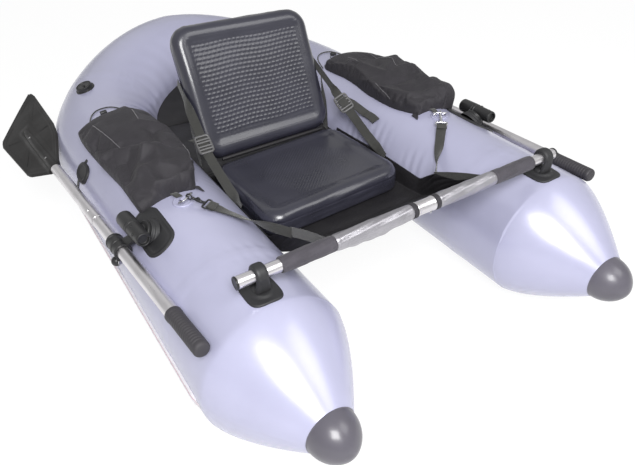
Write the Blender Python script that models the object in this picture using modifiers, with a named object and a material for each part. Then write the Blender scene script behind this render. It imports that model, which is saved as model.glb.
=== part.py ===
"""Float tube: a U-shaped inflatable hull with a slung folding seat, a crossbar and two stowed oars.

Metres, +Z up. The origin lies under the middle of the hull, on the ground. -Y is the open front
between the two cones, +Y the stern. Every piece that comes in pairs is made on the +X side and
mirrored. Distances along the hull are measured from the crossbar.
"""

import math

import bmesh
import bpy
import numpy as np
from mathutils import Matrix, Vector

# Shared clearances
seat_gap = 0.0003
running_gap = 0.0003
overrun = 0.02

# Hull
hull_radius = 0.165
hull_sides = 24
leg_end = 1.0
stern_depth = 0.382
stern_roundness_share = 1.7
stern_rise = 0.088
stern_rise_share = 1.8
stern_steps = 24
cone_start = -0.045
cone_end = -0.2334
cone_end_radius = 0.0523
cone_bulge_share = 1.3
cone_toe_in = 0.0076
cone_steps = 7
nose_length = 0.029
nose_radius = 0.035

# Nose caps
cap_wall = 0.0035
cap_length = 0.0672

# Rub strakes along the outer flanks
strake_width = 0.03
strake_thickness = 0.005
strake_front = -0.04
strake_rear = 0.86
strake_angle = -7.5

# Crossbar and what joins its halves
bar_rise = 0.0416
bar_radius = 0.0127
bar_wall = 0.0014
bar_left_overhang = 0.0415
bar_right_overhang = 0.0255
ferrule_x = 0.014
ferrule_length = 0.049
ferrule_radius = 0.0162
bar_joint_gap = 0.001
plug_head = 0.004
plug_flange = 0.0008
plug_spigot = 0.014
button_radius = 0.0035
button_height = 0.0035
button_root = 0.006
button_x = 0.027
button_angle = -62.0

# Bar mounts: a patch on the crown, a neck and a ring round the bar
mount_inset = 0.004
mount_patch_width = 0.072
mount_patch_length = 0.085
mount_patch_corner = 0.024
mount_patch_thickness = 0.004
mount_ring_radius = 0.022
mount_ring_width = 0.024
mount_neck_length = 0.034

# Fabric sleeves on the bar
sleeve_gap = 0.0004
dark_sleeve_inset = 0.049
dark_sleeve_length = 0.1215
apron_start = 0.0215
apron_start_right = 0.05
apron_radius = 0.0168
apron_droop = 0.041
apron_fold = 0.0055
sleeve_joint_gap = 0.0005

# Seat cushion and backrest, moulded foam with a raised rim
seat_front = 0.290
seat_rear = 0.6405
seat_width = 0.428
seat_side_room = 0.006
seat_thickness = 0.066
seat_front_top = 0.2585
seat_rear_top = 0.2385
hinge_gap = 0.0006
back_inset = 0.006
back_length = 0.358
back_thickness = 0.055
back_recline = 24.6
foam_corner = 0.046
foam_edge = 0.012
foam_waist = 0.003
foam_rim = 0.040
foam_recess = 0.0075
foam_crown = 0.0012
foam_corner_steps = 7
foam_edge_steps = 3

# Sewn hinge bead in the crease between seat and backrest
bead_length = 0.334

# Slung fabric floor
floor_thickness = 0.0025
floor_leave_angle = -20.0
floor_front_inset = 0.0095
floor_inset = 0.0015
gusset_room = 0.013
gusset_y = 0.176
gusset_top = 0.296
hem_fall = 0.079
gusset_row = 4
floor_fold_share = 0.81
strap_anchor_y = 0.404
strap_anchor_top = 0.232
flap_rear_top = 0.222
deck_level = 0.204
deck_rise = 0.006
deck_start = 0.655
deck_sink = 0.004
deck_end_share = 0.42

# Webbing
web_strap_width = 0.026
web_strap_thickness = 0.002
strap_top_y = 0.792
strap_top_z = 0.426
strap_top_gap = 0.0003
buckle_y = 0.608
buckle_z = 0.318
buckle_length = 0.046
buckle_width = 0.037
buckle_thickness = 0.0075
brace_top_y = 0.712
brace_top_z = 0.372
brace_foot_y = 0.69
brace_step = 0.0028

# D-rings on welded patches, with snap hooks
ring_y = 0.367
ring_patch_radius = 0.024
ring_patch_thickness = 0.0025
ring_tab_length = 0.012
ring_tab_width = 0.016
ring_tab_height = 0.009
ring_wire = 0.002
ring_half_width = 0.016
ring_side = 0.010
ring_height = 0.0055
ring_lean = 35.0
ring_heading = 234.0
hook_wire = 0.0018
hook_loop = 0.0066
hook_shank = 0.034
hook_shank_radius = 0.0036
hook_eye_length = 0.011
hook_eye_half_width = 0.0155
hook_drop = 12.0

# Side bags draped over the hull
bag_front = 0.425
bag_rear = 0.935
bag_outer_angle = 50.0
bag_inner_angle = 118.0
bag_thickness = 0.062
bag_square_share = 0.62
bag_end_share = 0.34
bag_undercut = 0.012

# Air valves
valve_share = 0.1355
valve_angle = 75.0
valve_flange_radius = 0.030
valve_flange = 0.003
valve_ring_radius = 0.0245
valve_well_radius = 0.0212
valve_height = 0.0095
valve_cap_height = 0.0048
valve_handle_length = 0.030
valve_handle_width = 0.006
valve_handle_height = 0.004

# Oars
oar_radius = 0.0148
oar_wall = 0.0014
collar_y = 0.376
collar_offset_x = 0.1615
collar_offset_z = 0.0982
oar_spread_share = 0.0530
oar_drop_share = -0.0670
grip_front = 0.423
grip_length = 0.129
grip_radius = 0.0168
grip_end_wall = 0.006
grip_ring_radius = 0.0174
grip_ring_length = 0.012
grip_rib_depth = 0.0007
grip_ribs = 6
shaft_reach = 0.500
oar_button_reach = 0.185
oar_button_radius = 0.003
oar_button_height = 0.0028
blade_plug = 0.038
blade_length = 0.560
blade_half_width = 0.098
blade_thickness = 0.0055
blade_rib_radius = 0.0105
blade_rib_share = 0.635
blade_normal_angle = 57.7

# Oarlocks
lock_y = 0.335
lock_patch_angle = 56.5
lock_boss_angle = 54.0
lock_patch_width = 0.080
lock_patch_length = 0.165
lock_patch_thickness = 0.003
lock_boss_radius = 0.029
lock_boss_height = 0.0125
lock_axis_angle = 35.0
lock_disc_radius = 0.027
lock_disc_height = 0.0075
lock_spigot_radius = 0.0125
lock_spigot_height = 0.0068
lock_barrel_radius = 0.019
lock_barrel_length = 0.120
lock_barrel_shift = 0.010
lock_eye_height = 0.0125
lock_arm_inner = 0.020
collar_radius = 0.0206
collar_length = 0.058

# Lock pins with a ball knob
pin_radius = 0.003
pin_depth = 0.0036
pin_ball_radius = 0.012
pin_neck = 0.0035
pin_neck_radius = 0.0055

# Oar keepers
keeper_y = 0.775
keeper_patch_angle = 40.0
keeper_patch_width = 0.036
keeper_patch_length = 0.062
keeper_patch_thickness = 0.007
keeper_strap_angle = 23.0
keeper_strap_width = 0.130
keeper_strap_length = 0.016
keeper_strap_thickness = 0.0012
keeper_tab_angle = 8.0
keeper_tab_width = 0.030
keeper_tab_length = 0.030
keeper_tab_thickness = 0.005

# Values that follow from the sizes above
leg_x = seat_width / 2 + seat_side_room + hull_radius
back_width = seat_width - 2 * back_inset
hull_flat = hull_radius * math.cos(math.pi / hull_sides)
axis_z = hull_flat
crown_z = 2 * hull_flat
inner_wall = leg_x - hull_radius
bar_height = crown_z + bar_rise
bar_left_end = leg_x + bar_left_overhang
bar_right_end = leg_x + bar_right_overhang
mount_x = leg_x - mount_inset
dark_sleeve_outer = leg_x - dark_sleeve_inset
dark_sleeve_inner = dark_sleeve_outer - dark_sleeve_length
floor_front_width = inner_wall - floor_front_inset
floor_width = inner_wall - floor_inset
cap_tip = cone_end - cap_length
stern_tip = leg_end + stern_depth + hull_radius
bar_y = -(stern_tip + cap_tip) / 2
seat_slope = (seat_front_top - seat_rear_top) / (seat_rear - seat_front)
hinge_y = seat_rear + hinge_gap
hinge_z = seat_rear_top - seat_slope * hinge_gap

X = Vector((1, 0, 0))
Y = Vector((0, 1, 0))
Z = Vector((0, 0, 1))

PARTS_NAME = "float_tube"
SHAPES_NAME = "float_tube_cutters"


def clear_scene():
    for old in list(bpy.data.objects):
        bpy.data.objects.remove(old, do_unlink=True)
    for old in list(bpy.data.collections):
        bpy.data.collections.remove(old)
    for name in (PARTS_NAME, SHAPES_NAME):
        group = bpy.data.collections.new(name)
        bpy.context.scene.collection.children.link(group)


def finish(name, colour, roughness, metallic=0.0):
    """Principled material with the colour, roughness and metallic value of one real surface."""
    made = bpy.data.materials.new(name)
    made.use_nodes = True
    shader = made.node_tree.nodes["Principled BSDF"]
    shader.inputs["Base Color"].default_value = (*colour, 1)
    shader.inputs["Roughness"].default_value = roughness
    shader.inputs["Metallic"].default_value = metallic
    made.diffuse_color = (*colour, 1)
    return made


def place(origin, x_axis, y_axis, z_axis):
    """Matrix that carries local axes to three given directions at an origin."""
    turned = Matrix((x_axis, y_axis, z_axis)).transposed().to_4x4()
    return Matrix.Translation(origin) @ turned


def frame_along(origin, z_axis, hint=Z):
    """Right-handed frame whose local Z runs along z_axis and whose X is square to hint."""
    up = z_axis.normalized()
    side = hint.cross(up)
    if side.length < math.sin(math.radians(1)):
        side = X - up * X.dot(up)
    side.normalize()
    return place(origin, side, up.cross(side), up)


def shape(data, matrix=None):
    """A scratch object that holds a mesh or curve while it is being shaped."""
    made = bpy.data.objects.new("shape", data)
    made.hide_render = True
    made.display_type = "WIRE"
    bpy.data.collections[SHAPES_NAME].objects.link(made)
    if matrix is not None:
        made.matrix_world = matrix
    return made


def baked(source):
    """Replaces an object by a mesh of what the viewport shows, welded, facing out, at the origin."""
    bpy.context.view_layer.update()
    graph = bpy.context.evaluated_depsgraph_get()
    mesh = bpy.data.meshes.new_from_object(source.evaluated_get(graph))
    mesh.transform(source.matrix_world)
    work = bmesh.new()
    work.from_mesh(mesh)
    bmesh.ops.remove_doubles(work, verts=work.verts, dist=seat_gap / 30)
    bmesh.ops.dissolve_degenerate(work, edges=work.edges, dist=seat_gap / 30)
    bmesh.ops.recalc_face_normals(work, faces=work.faces)
    work.to_mesh(mesh)
    work.free()
    bpy.data.objects.remove(source, do_unlink=True)
    return shape(mesh)


def from_bmesh(work, matrix=None):
    mesh = bpy.data.meshes.new("shape")
    work.to_mesh(mesh)
    work.free()
    return baked(shape(mesh, matrix))


def joined(body, tool, operation):
    """Boolean of two closed shapes: UNION, DIFFERENCE or INTERSECT. Uses both up."""
    cut = body.modifiers.new("cut", "BOOLEAN")
    cut.operation = operation
    cut.solver = "EXACT"
    cut.object = tool
    result = baked(body)
    bpy.data.objects.remove(tool, do_unlink=True)
    return result


def rod(start, end, radius, sides=24, end_radius=None):
    """Round bar or cone between two points."""
    run = end - start
    work = bmesh.new()
    bmesh.ops.create_cone(
        work,
        cap_ends=True,
        segments=sides,
        radius1=radius,
        radius2=radius if end_radius is None else end_radius,
        depth=run.length,
    )
    return from_bmesh(work, frame_along((start + end) / 2, run))


def block(matrix, size):
    """Box of the given size, centred on a frame."""
    work = bmesh.new()
    bmesh.ops.create_cube(work, size=1, matrix=Matrix.Diagonal((*size, 1)))
    return from_bmesh(work, matrix)


def turned(profile, matrix, steps=28):
    """Solid turned about local Z from a profile of (radius, height) that runs down its outer side."""
    work = bmesh.new()
    points = [work.verts.new((radius, 0, height)) for radius, height in profile]
    for first, second in zip(points, points[1:]):
        work.edges.new((first, second))
    mesh = bpy.data.meshes.new("profile")
    work.to_mesh(mesh)
    work.free()
    body = shape(mesh, matrix)
    spin = body.modifiers.new("turn", "SCREW")
    spin.steps = steps
    spin.render_steps = steps
    spin.use_merge_vertices = True
    spin.merge_threshold = seat_gap / 30
    return baked(body)


def wire(points, radius, closed=False, fineness=2):
    """Round wire or cord along a list of points."""
    curve = bpy.data.curves.new("wire", "CURVE")
    curve.dimensions = "3D"
    curve.bevel_depth = radius
    curve.bevel_resolution = fineness
    curve.use_fill_caps = True
    line = curve.splines.new("POLY")
    line.points.add(len(points) - 1)
    for knot, point in zip(line.points, points):
        knot.co = (*point, 1)
    line.use_cyclic_u = closed
    return baked(shape(curve))


def plate(outlines, matrix, thickness):
    """Flat plate from closed 2D outlines, centred on its frame. Inner outlines are holes."""
    curve = bpy.data.curves.new("plate", "CURVE")
    curve.dimensions = "2D"
    curve.fill_mode = "BOTH"
    curve.extrude = thickness / 2
    for outline in outlines:
        line = curve.splines.new("POLY")
        line.points.add(len(outline) - 1)
        for knot, (across, along) in zip(line.points, outline):
            knot.co = (across, along, 0, 1)
        line.use_cyclic_u = True
    return baked(shape(curve, matrix))


def sheet(surface, across, along, thickness):
    """Thin sheet: a grid whose (u, v) in 0..1 go through a formula, thickened both ways."""
    work = bmesh.new()
    bmesh.ops.create_grid(work, x_segments=across, y_segments=along, size=0.5)
    for corner in work.verts:
        corner.co = surface(corner.co.x + 0.5, corner.co.y + 0.5)
    mesh = bpy.data.meshes.new("sheet")
    work.to_mesh(mesh)
    work.free()
    body = shape(mesh)
    wall = body.modifiers.new("wall", "SOLIDIFY")
    wall.thickness = thickness
    wall.offset = 0
    wall.use_even_offset = False
    return baked(body)


def loft(loops):
    """Skin over loops of equal point count, closed by a flat face at each end."""
    work = bmesh.new()
    rows = [[work.verts.new(point) for point in loop] for loop in loops]
    count = len(rows[0])
    for low, high in zip(rows, rows[1:]):
        for index in range(count):
            after = (index + 1) % count
            work.faces.new((low[index], low[after], high[after], high[index]))
    work.faces.new(rows[0])
    work.faces.new(rows[-1])
    return from_bmesh(work)


def rounded_outline(width, length, corner, steps):
    """Points of a rectangle with round corners, counter-clockwise."""
    points = []
    for quarter in range(4):
        sign_x = 1 if quarter in (0, 3) else -1
        sign_y = 1 if quarter in (0, 1) else -1
        for step in range(steps + 1):
            angle = math.pi / 2 * (quarter + step / steps)
            across = sign_x * (width / 2 - corner) + corner * math.cos(angle)
            along = sign_y * (length / 2 - corner) + corner * math.sin(angle)
            points.append((across, along))
    return points


def circle_outline(radius, count, centre=(0, 0)):
    turns = [2 * math.pi * index / count for index in range(count)]
    return [(centre[0] + radius * math.cos(t), centre[1] + radius * math.sin(t)) for t in turns]


def release(body, name, look, pivot=None):
    """Turns a finished shape into a named part, with its origin on its joint if it moves."""
    body.name = name
    body.data.name = name
    bpy.data.collections[SHAPES_NAME].objects.unlink(body)
    bpy.data.collections[PARTS_NAME].objects.link(body)
    body.hide_render = False
    body.display_type = "TEXTURED"
    body.data.materials.clear()
    body.data.materials.append(look)
    body.data.shade_smooth()
    body.data.set_sharp_from_angle(angle=math.radians(35))
    if pivot is not None:
        body.data.transform(Matrix.Translation(-pivot))
        body.location = pivot
    return body


def mirrored(body):
    """A mirror image across the hull's middle plane."""
    mesh = body.data.copy()
    mesh.transform(Matrix.Diagonal((-1, 1, 1, 1)))
    mesh.flip_normals()
    return shape(mesh)


def release_pair(body, name, look, pivot=None):
    """Releases a piece made on the +X side as NAME_right, and its mirror image as NAME_left."""
    left_pivot = None if pivot is None else Vector((-pivot.x, pivot.y, pivot.z))
    release(mirrored(body), name + "_left", look, left_pivot)
    release(body, name + "_right", look, pivot)


def from_bar(x, y, z):
    """World point from a distance behind the crossbar."""
    return Vector((x, bar_y + y, z))


def radial(angle):
    """Direction out of the +X leg at an angle above level."""
    return Vector((math.cos(math.radians(angle)), 0, math.sin(math.radians(angle))))


def tangential(angle):
    """Direction round the +X leg, inboard over the crown."""
    return radial(angle + 90)


# Hull


def stern_axis(share):
    """Hull axis from the end of the +X leg (0) round the stern (0.5) to the other leg (1)."""
    angle = math.pi * share
    power = 2 / stern_roundness_share
    cosine = math.cos(angle)
    run = max(math.sin(angle), 0) ** power
    x = leg_x * math.copysign(abs(cosine) ** power, cosine)
    return from_bar(x, leg_end + stern_depth * run, axis_z + stern_rise * run**stern_rise_share)


def cone_station(share):
    """Axis point and radius on the +X cone, from its root (0) to the cap's edge (1)."""
    x = leg_x - cone_toe_in * share
    y = cone_start + (cone_end - cone_start) * share
    radius = cone_end_radius + (hull_radius - cone_end_radius) * (1 - share**cone_bulge_share)
    return from_bar(x, y, axis_z), radius


def nose_axis():
    """Unit direction of the +X cone's axis, forwards."""
    return (cone_station(1)[0] - cone_station(0)[0]).normalized()


def hull_shape(extra):
    """The whole hull, swept along its axis and grown outwards by extra."""
    half = [(cone_station(1)[0] + nose_axis() * nose_length, nose_radius)]
    half += [cone_station(1 - step / cone_steps) for step in range(cone_steps + 1)]
    half += [(from_bar(leg_x, leg_end * step / 4, axis_z), hull_radius) for step in range(1, 4)]
    stern = [(stern_axis(step / stern_steps), hull_radius) for step in range(stern_steps + 1)]
    other = [(Vector((-point.x, point.y, point.z)), radius) for point, radius in reversed(half)]
    stations = half + stern + other
    curve = bpy.data.curves.new("hull", "CURVE")
    curve.dimensions = "3D"
    curve.twist_mode = "Z_UP"
    curve.bevel_depth = hull_radius + extra
    curve.bevel_resolution = (hull_sides - 4) // 2
    curve.use_fill_caps = True
    line = curve.splines.new("POLY")
    line.points.add(len(stations) - 1)
    for knot, (point, radius) in zip(line.points, stations):
        knot.co = (*point, 1)
        knot.radius = (radius + extra) / (hull_radius + extra)
        knot.tilt = math.pi / hull_sides
    return baked(shape(curve))


def leg_shape(extra):
    """Straight part of the +X leg, grown outwards by extra."""
    work = bmesh.new()
    bmesh.ops.create_cone(
        work,
        cap_ends=True,
        segments=hull_sides,
        radius1=hull_radius + extra,
        radius2=hull_radius + extra,
        depth=leg_end - cone_start + 2 * overrun,
        matrix=Matrix.Rotation(math.pi / hull_sides, 4, "Z"),
    )
    middle = from_bar(leg_x, (leg_end + cone_start) / 2, axis_z)
    return from_bmesh(work, place(middle, X, -Z, Y))


def leg_skin(outline, angle, y, thickness):
    """Outline wrapped on the +X leg at an angle, with its underside still uncut."""
    centre = from_bar(leg_x, y, axis_z) + radial(angle) * hull_radius
    # The outline's first coordinate runs round the leg, its second along it
    matrix = place(centre, tangential(angle), -Y, radial(angle))
    body = plate([outline], matrix, 2 * overrun + 2 * thickness)
    return joined(body, leg_shape(seat_gap + thickness), "INTERSECT")


def on_leg(body):
    """Cuts the underside of a piece to the hull it is welded on."""
    return joined(body, leg_shape(seat_gap), "DIFFERENCE")


def make_hull(looks):
    release(hull_shape(0), "hull_tube", looks["hull"])


def make_caps(looks):
    base = cone_station(1)[0]
    edge = cone_end_radius + cap_wall
    flank = 10
    # A quarter ellipse from the tip to the base edge
    outer = [
        (edge * math.sin(math.pi / 2 * step / flank), cap_length * math.cos(math.pi / 2 * step / flank))
        for step in range(flank + 1)
    ]
    recess = nose_length + seat_gap
    inner = [(cone_end_radius + seat_gap, 0), (nose_radius + seat_gap, recess), (0, recess)]
    # The facets line up with the hull's own
    frame = frame_along(base, nose_axis()) @ Matrix.Rotation(math.pi / hull_sides, 4, "Z")
    body = turned(outer + inner, frame, hull_sides)
    release_pair(body, "nose_cap", looks["cap"])


def make_strakes(looks):
    length = strake_rear - strake_front
    outline = rounded_outline(strake_width, length, strake_width / 3, 3)
    body = leg_skin(outline, strake_angle, (strake_front + strake_rear) / 2, strake_thickness)
    release_pair(on_leg(body), "rub_strake", looks["strake"])


# Crossbar


def bar_point(x):
    return from_bar(x, 0, bar_height)


def tube_profile(radius, wall, length):
    """Closed profile of a plain tube that starts at height 0."""
    inner = radius - wall
    return [(radius, length), (radius, 0), (inner, 0), (inner, length), (radius, length)]


def bar_tube(start, end, radius, wall):
    frame = frame_along(bar_point(start), bar_point(end) - bar_point(start))
    return turned(tube_profile(radius, wall, abs(end - start)), frame)


def button_direction():
    angle = math.radians(button_angle)
    return Vector((0, -math.cos(angle), math.sin(angle)))


def make_crossbar(looks):
    joint = ferrule_x
    hole_reach = button_direction() * (ferrule_radius + overrun)
    left = bar_tube(-bar_left_end, joint - bar_joint_gap / 2, bar_radius, bar_wall)
    right = bar_tube(joint + bar_joint_gap / 2, bar_right_end, bar_radius, bar_wall)
    half = ferrule_length / 2
    ferrule_wall = ferrule_radius - bar_radius - sleeve_gap
    ferrule = bar_tube(joint - half, joint + half, ferrule_radius, ferrule_wall)
    centre = bar_point(button_x)
    bore = button_radius + running_gap
    right = joined(right, rod(centre, centre + hole_reach, bore, 16), "DIFFERENCE")
    ferrule = joined(ferrule, rod(centre, centre + hole_reach, bore, 16), "DIFFERENCE")
    release(left, "crossbar_left", looks["aluminium"])
    release(right, "crossbar_right", looks["aluminium"])
    release(ferrule, "crossbar_ferrule", looks["aluminium"])
    button = make_button(
        centre, button_direction(), ferrule_radius, button_radius, button_height, button_root
    )
    release(button, "crossbar_button", looks["steel"], centre)
    plug_frames = {
        "bar_plug_left": frame_along(bar_point(-bar_left_end), -X),
        "bar_plug_right": frame_along(bar_point(bar_right_end), X),
    }
    spigot = bar_radius - bar_wall - seat_gap
    head = bar_radius + plug_flange
    profile = [
        (0, plug_head + seat_gap),
        (head - plug_flange, plug_head + seat_gap),
        (head, plug_head / 2),
        (head, seat_gap),
        (spigot, seat_gap),
        (spigot, -plug_spigot),
        (0, -plug_spigot),
    ]
    for name, frame in plug_frames.items():
        release(turned(profile, frame), name, looks["black_plastic"])


def make_button(centre, direction, surface, radius, height, root):
    """Round-headed snap button that stands out of a tube along a direction."""
    crown = radius / 2
    profile = [
        (0, surface + height),
        (radius * 0.7, surface + height - crown * 0.3),
        (radius, surface + height - crown),
        (radius, root),
        (0, root),
    ]
    return turned(profile, frame_along(centre, direction, X), 14)


def make_mounts(looks):
    outline = rounded_outline(mount_patch_width, mount_patch_length, mount_patch_corner, 5)
    body = leg_skin(outline, 90, 0, mount_patch_thickness)
    centre = bar_point(mount_x)
    foot = centre - Z * (bar_height - crown_z + mount_patch_thickness)
    neck = rod(foot, centre, mount_neck_length / 2, 28, mount_ring_width / 2)
    side = X * mount_ring_width / 2
    ring = rod(centre - side, centre + side, mount_ring_radius, 28)
    body = on_leg(joined(body, joined(neck, ring, "UNION"), "UNION"))
    bore = rod(centre - side * 2, centre + side * 2, bar_radius + seat_gap, 28)
    release_pair(joined(body, bore, "DIFFERENCE"), "bar_mount", looks["black_rubber"])


def make_sleeves(looks):
    wall = apron_radius - bar_radius - sleeve_gap
    dark = bar_tube(dark_sleeve_inner, dark_sleeve_outer, apron_radius, wall)
    release_pair(dark, "bar_sleeve", looks["black_fabric"])
    reach = dark_sleeve_inner - sleeve_joint_gap
    for name, start, side in (
        ("apron_sleeve_left", apron_start, -1),
        ("apron_sleeve_right", apron_start_right, 1),
    ):
        middle = bar_point(side * (start + reach) / 2)
        # The plate's first coordinate is +Y, its second +Z, its thickness runs along the bar
        frame = place(middle, Y, Z, X)
        outline = [
            (apron_radius * math.cos(angle), apron_radius * math.sin(angle))
            for angle in (math.radians(-60 + 300 * step / 20) for step in range(21))
        ]
        outline += [
            (-apron_fold / 2, -apron_droop * 0.9),
            (0, -apron_droop),
            (apron_fold / 2, -apron_droop * 0.9),
        ]
        hole = circle_outline(bar_radius + sleeve_gap, 24)
        release(plate([outline, hole], frame, reach - start), name, looks["silver_fabric"])


# Seat


def foam_block(frame, width, length, thickness):
    """Moulded foam panel: round edges, drawn-in sides and a raised rim round a shallow tray."""
    steps = foam_edge_steps
    lower = [
        (foam_edge * (1 - math.sin(angle)), foam_edge * (1 - math.cos(angle)))
        for angle in (math.pi / 2 * step / steps for step in range(steps + 1))
    ]
    upper = [(inset, thickness - height) for inset, height in reversed(lower)]
    tray = [
        (foam_rim * 0.72, thickness),
        (foam_rim * 0.86, thickness - foam_recess * 0.45),
        (foam_rim, thickness - foam_recess),
        (foam_rim * 2, thickness - foam_recess + foam_crown),
    ]
    loops = []
    for inset, height in lower + [(foam_waist, thickness / 2)] + upper + tray:
        corner = max(foam_corner - inset, foam_edge / 2)
        outline = rounded_outline(width - 2 * inset, length - 2 * inset, corner, foam_corner_steps)
        loops.append([frame @ Vector((across, along, height)) for across, along in outline])
    return loft(loops)


def seat_frame():
    """Frame on the underside of the seat cushion, +Z square to its top."""
    along = Vector((0, 1, -seat_slope)).normalized()
    up = X.cross(along)
    middle = from_bar(0, (seat_front + seat_rear) / 2, (seat_front_top + seat_rear_top) / 2)
    return place(middle - up * seat_thickness, X, along, up)


def seat_length():
    return (seat_rear - seat_front) * math.hypot(1, seat_slope)


def back_frame():
    """Frame on the rear face of the backrest, +Z to its front."""
    lean = math.radians(back_recline)
    along = Vector((0, math.sin(lean), math.cos(lean)))
    front = X.cross(along)
    foot = from_bar(0, hinge_y, hinge_z)
    middle = foot + along * (back_length / 2 + hinge_gap)
    return place(middle - front * back_thickness, X, along, front)


def make_seat(looks):
    hinge = from_bar(0, hinge_y, hinge_z)
    seat = foam_block(seat_frame(), seat_width, seat_length(), seat_thickness)
    release(seat, "seat_cushion", looks["vinyl"])
    back = foam_block(back_frame(), back_width, back_length, back_thickness)
    release(back, "back_cushion", looks["vinyl"], hinge)
    # The bead fills the space that the two rounded edges leave round the hinge axis
    facet = math.cos(math.pi / 4 / foam_edge_steps)
    radius = foam_edge * (math.sqrt(2) - facet) + hinge_gap * math.cos(math.pi / 4) - seat_gap
    side = X * bead_length / 2
    release(rod(hinge - side, hinge + side, radius, 20), "hinge_bead", looks["black_webbing"])


# Fabric floor


def wall_x(z, clearance):
    """Inboard face of the +X leg at a height, kept off by a clearance."""
    rise = min(abs(z - axis_z), hull_radius * 0.97)
    return leg_x - math.sqrt(hull_radius**2 - rise**2) - clearance


def follow(points, y):
    """Value at y on straight runs between (y, value) pairs."""
    return float(np.interp(y, [point[0] for point in points], [point[1] for point in points]))


def seat_underside(y):
    """Height of the floor's middle under the seat cushion."""
    along = Vector((0, 1, -seat_slope)).normalized()
    drop = (seat_thickness + seat_gap + floor_thickness / 2) / along.y
    return seat_front_top - seat_slope * (y - seat_front) - drop


def floor_rows():
    """Stations along the floor: distance, height of the middle, height of the hem."""
    leave = math.radians(floor_leave_angle)
    reach = apron_radius + 2 * seat_gap
    front_y = reach * math.cos(leave)
    front_z = bar_height + reach * math.sin(leave)
    under = seat_underside(seat_front)
    middle = [
        (front_y, front_z),
        (gusset_y * 0.64, front_z - (front_z - under) * 0.46),
        (gusset_y * 1.27, front_z - (front_z - under) * 0.94),
        (seat_front - foam_edge, under),
        (seat_rear, seat_underside(seat_rear)),
    ]
    hem = [
        (front_y, front_z),
        (gusset_y * 0.58, gusset_top + (front_z - gusset_top) * 0.25),
        (gusset_y, gusset_top),
        (gusset_y + hem_fall, strap_anchor_top),
        (strap_anchor_y, strap_anchor_top),
        (seat_rear, flap_rear_top),
    ]
    stations = [front_y + (gusset_y - front_y) * step / gusset_row for step in range(gusset_row)]
    stations += [gusset_y + (seat_front - gusset_y) * step / 4 for step in range(4)]
    stations += [seat_front + (seat_rear - seat_front) * step / 5 for step in range(6)]
    return [(y, follow(middle, y), follow(hem, y)) for y in stations]


def floor_point(u, v):
    """Flat middle with a flank up each leg: u runs across, v from the crossbar to the stern."""
    rows = floor_rows()
    y, low, high = rows[round(v * (len(rows) - 1))]
    side = 2 * u - 1
    flat_share = 2 * floor_fold_share - 1
    clearance = floor_thickness + sleeve_gap * 4
    widest = follow([(0, floor_front_width), (seat_front - foam_edge, floor_width)], y)
    corner_x = min(wall_x(low, clearance), widest)
    climb = max(abs(side) - flat_share, 0) / (1 - flat_share)
    if climb == 0:
        return from_bar(corner_x * side / flat_share, y, low)
    z = low + (high - low) * climb
    anchored = wall_x(strap_anchor_top, clearance)
    hem_x = [(0, floor_front_width), (gusset_y, inner_wall - gusset_room), (gusset_y + hem_fall, anchored)]
    top_x = min(wall_x(high, clearance), follow(hem_x, y))
    x = min(corner_x + (top_x - corner_x) * climb, wall_x(z, clearance))
    return from_bar(math.copysign(x, side), y, z)


def deck_point(u, v):
    """Panel behind the seat, from leg to leg and back to the stern's inboard wall."""
    rows = 12
    row = round(v * rows)
    clearance = -deck_sink
    lead = 3
    if row < lead:
        y = deck_start + (leg_end - deck_start) * row / lead
        edge = from_bar(wall_x(deck_level, clearance), y, deck_level)
    else:
        share = deck_end_share * (row - lead) / (rows - lead)
        centre = stern_axis(share)
        ahead = stern_axis(min(share + 0.01, 0.5))
        behind = stern_axis(max(share - 0.01, 0)) if share > 0.01 else centre - Y * hull_radius / 9
        run = (ahead - behind).to_2d().normalized()
        inward = Vector((-run.y, run.x, 0))
        level = deck_level + deck_rise * (row - lead)
        reach = math.sqrt(hull_radius**2 - (centre.z - level) ** 2) + clearance
        edge = centre + inward * reach
        edge.z = level
    return Vector((edge.x * (2 * u - 1), edge.y, edge.z))


def make_floor(looks):
    cloth = sheet(floor_point, 26, len(floor_rows()) - 1, floor_thickness)
    release(cloth, "seat_floor", looks["black_fabric"])
    deck = joined(sheet(deck_point, 10, 12, floor_thickness), hull_shape(3 * seat_gap), "DIFFERENCE")
    release(deck, "rear_deck", looks["black_fabric"])


# Webbing


def ribbon(points, across, width, thickness):
    """Flat strap along points, with its width along one direction at each point."""
    rows = len(points) - 1

    def surface(u, v):
        index = round(v * rows)
        return points[index] + across[index] * width * (u - 0.5)

    return sheet(surface, 1, rows, thickness)


def line_points(start, end, count):
    return [start.lerp(end, step / count) for step in range(count + 1)]


def side_strap_points():
    """Strap from the backrest's flank through the buckle to the hem of the floor."""
    top = from_bar(back_width / 2 + strap_top_gap + web_strap_thickness / 2, strap_top_y, strap_top_z)
    buckle = from_bar(seat_width / 2 + buckle_thickness * 1.6, buckle_y, buckle_z)
    anchor = from_bar(wall_x(strap_anchor_top, 2.95 * floor_thickness), strap_anchor_y, strap_anchor_top)
    run = (buckle - top).normalized()
    rest = buckle + run * buckle_length * 0.7
    points = line_points(top, rest, 4)
    points += line_points(rest, anchor, 4)[1:]
    return points, buckle, run


def on_flank(points, across, width):
    """Swings a strap's width direction so that neither edge sinks in the floor's flank."""
    turned_across = []
    for point, direction in zip(points, across):
        best = direction
        for step in range(40):
            swing = Matrix.Rotation(math.radians(2 * step), 3, Y)
            best = swing @ direction
            edges = (point + best * width / 2, point - best * width / 2)
            if all(abs(edge.x) < wall_x(edge.z, 2.9 * floor_thickness) for edge in edges):
                break
        turned_across.append(best)
    return turned_across


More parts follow.
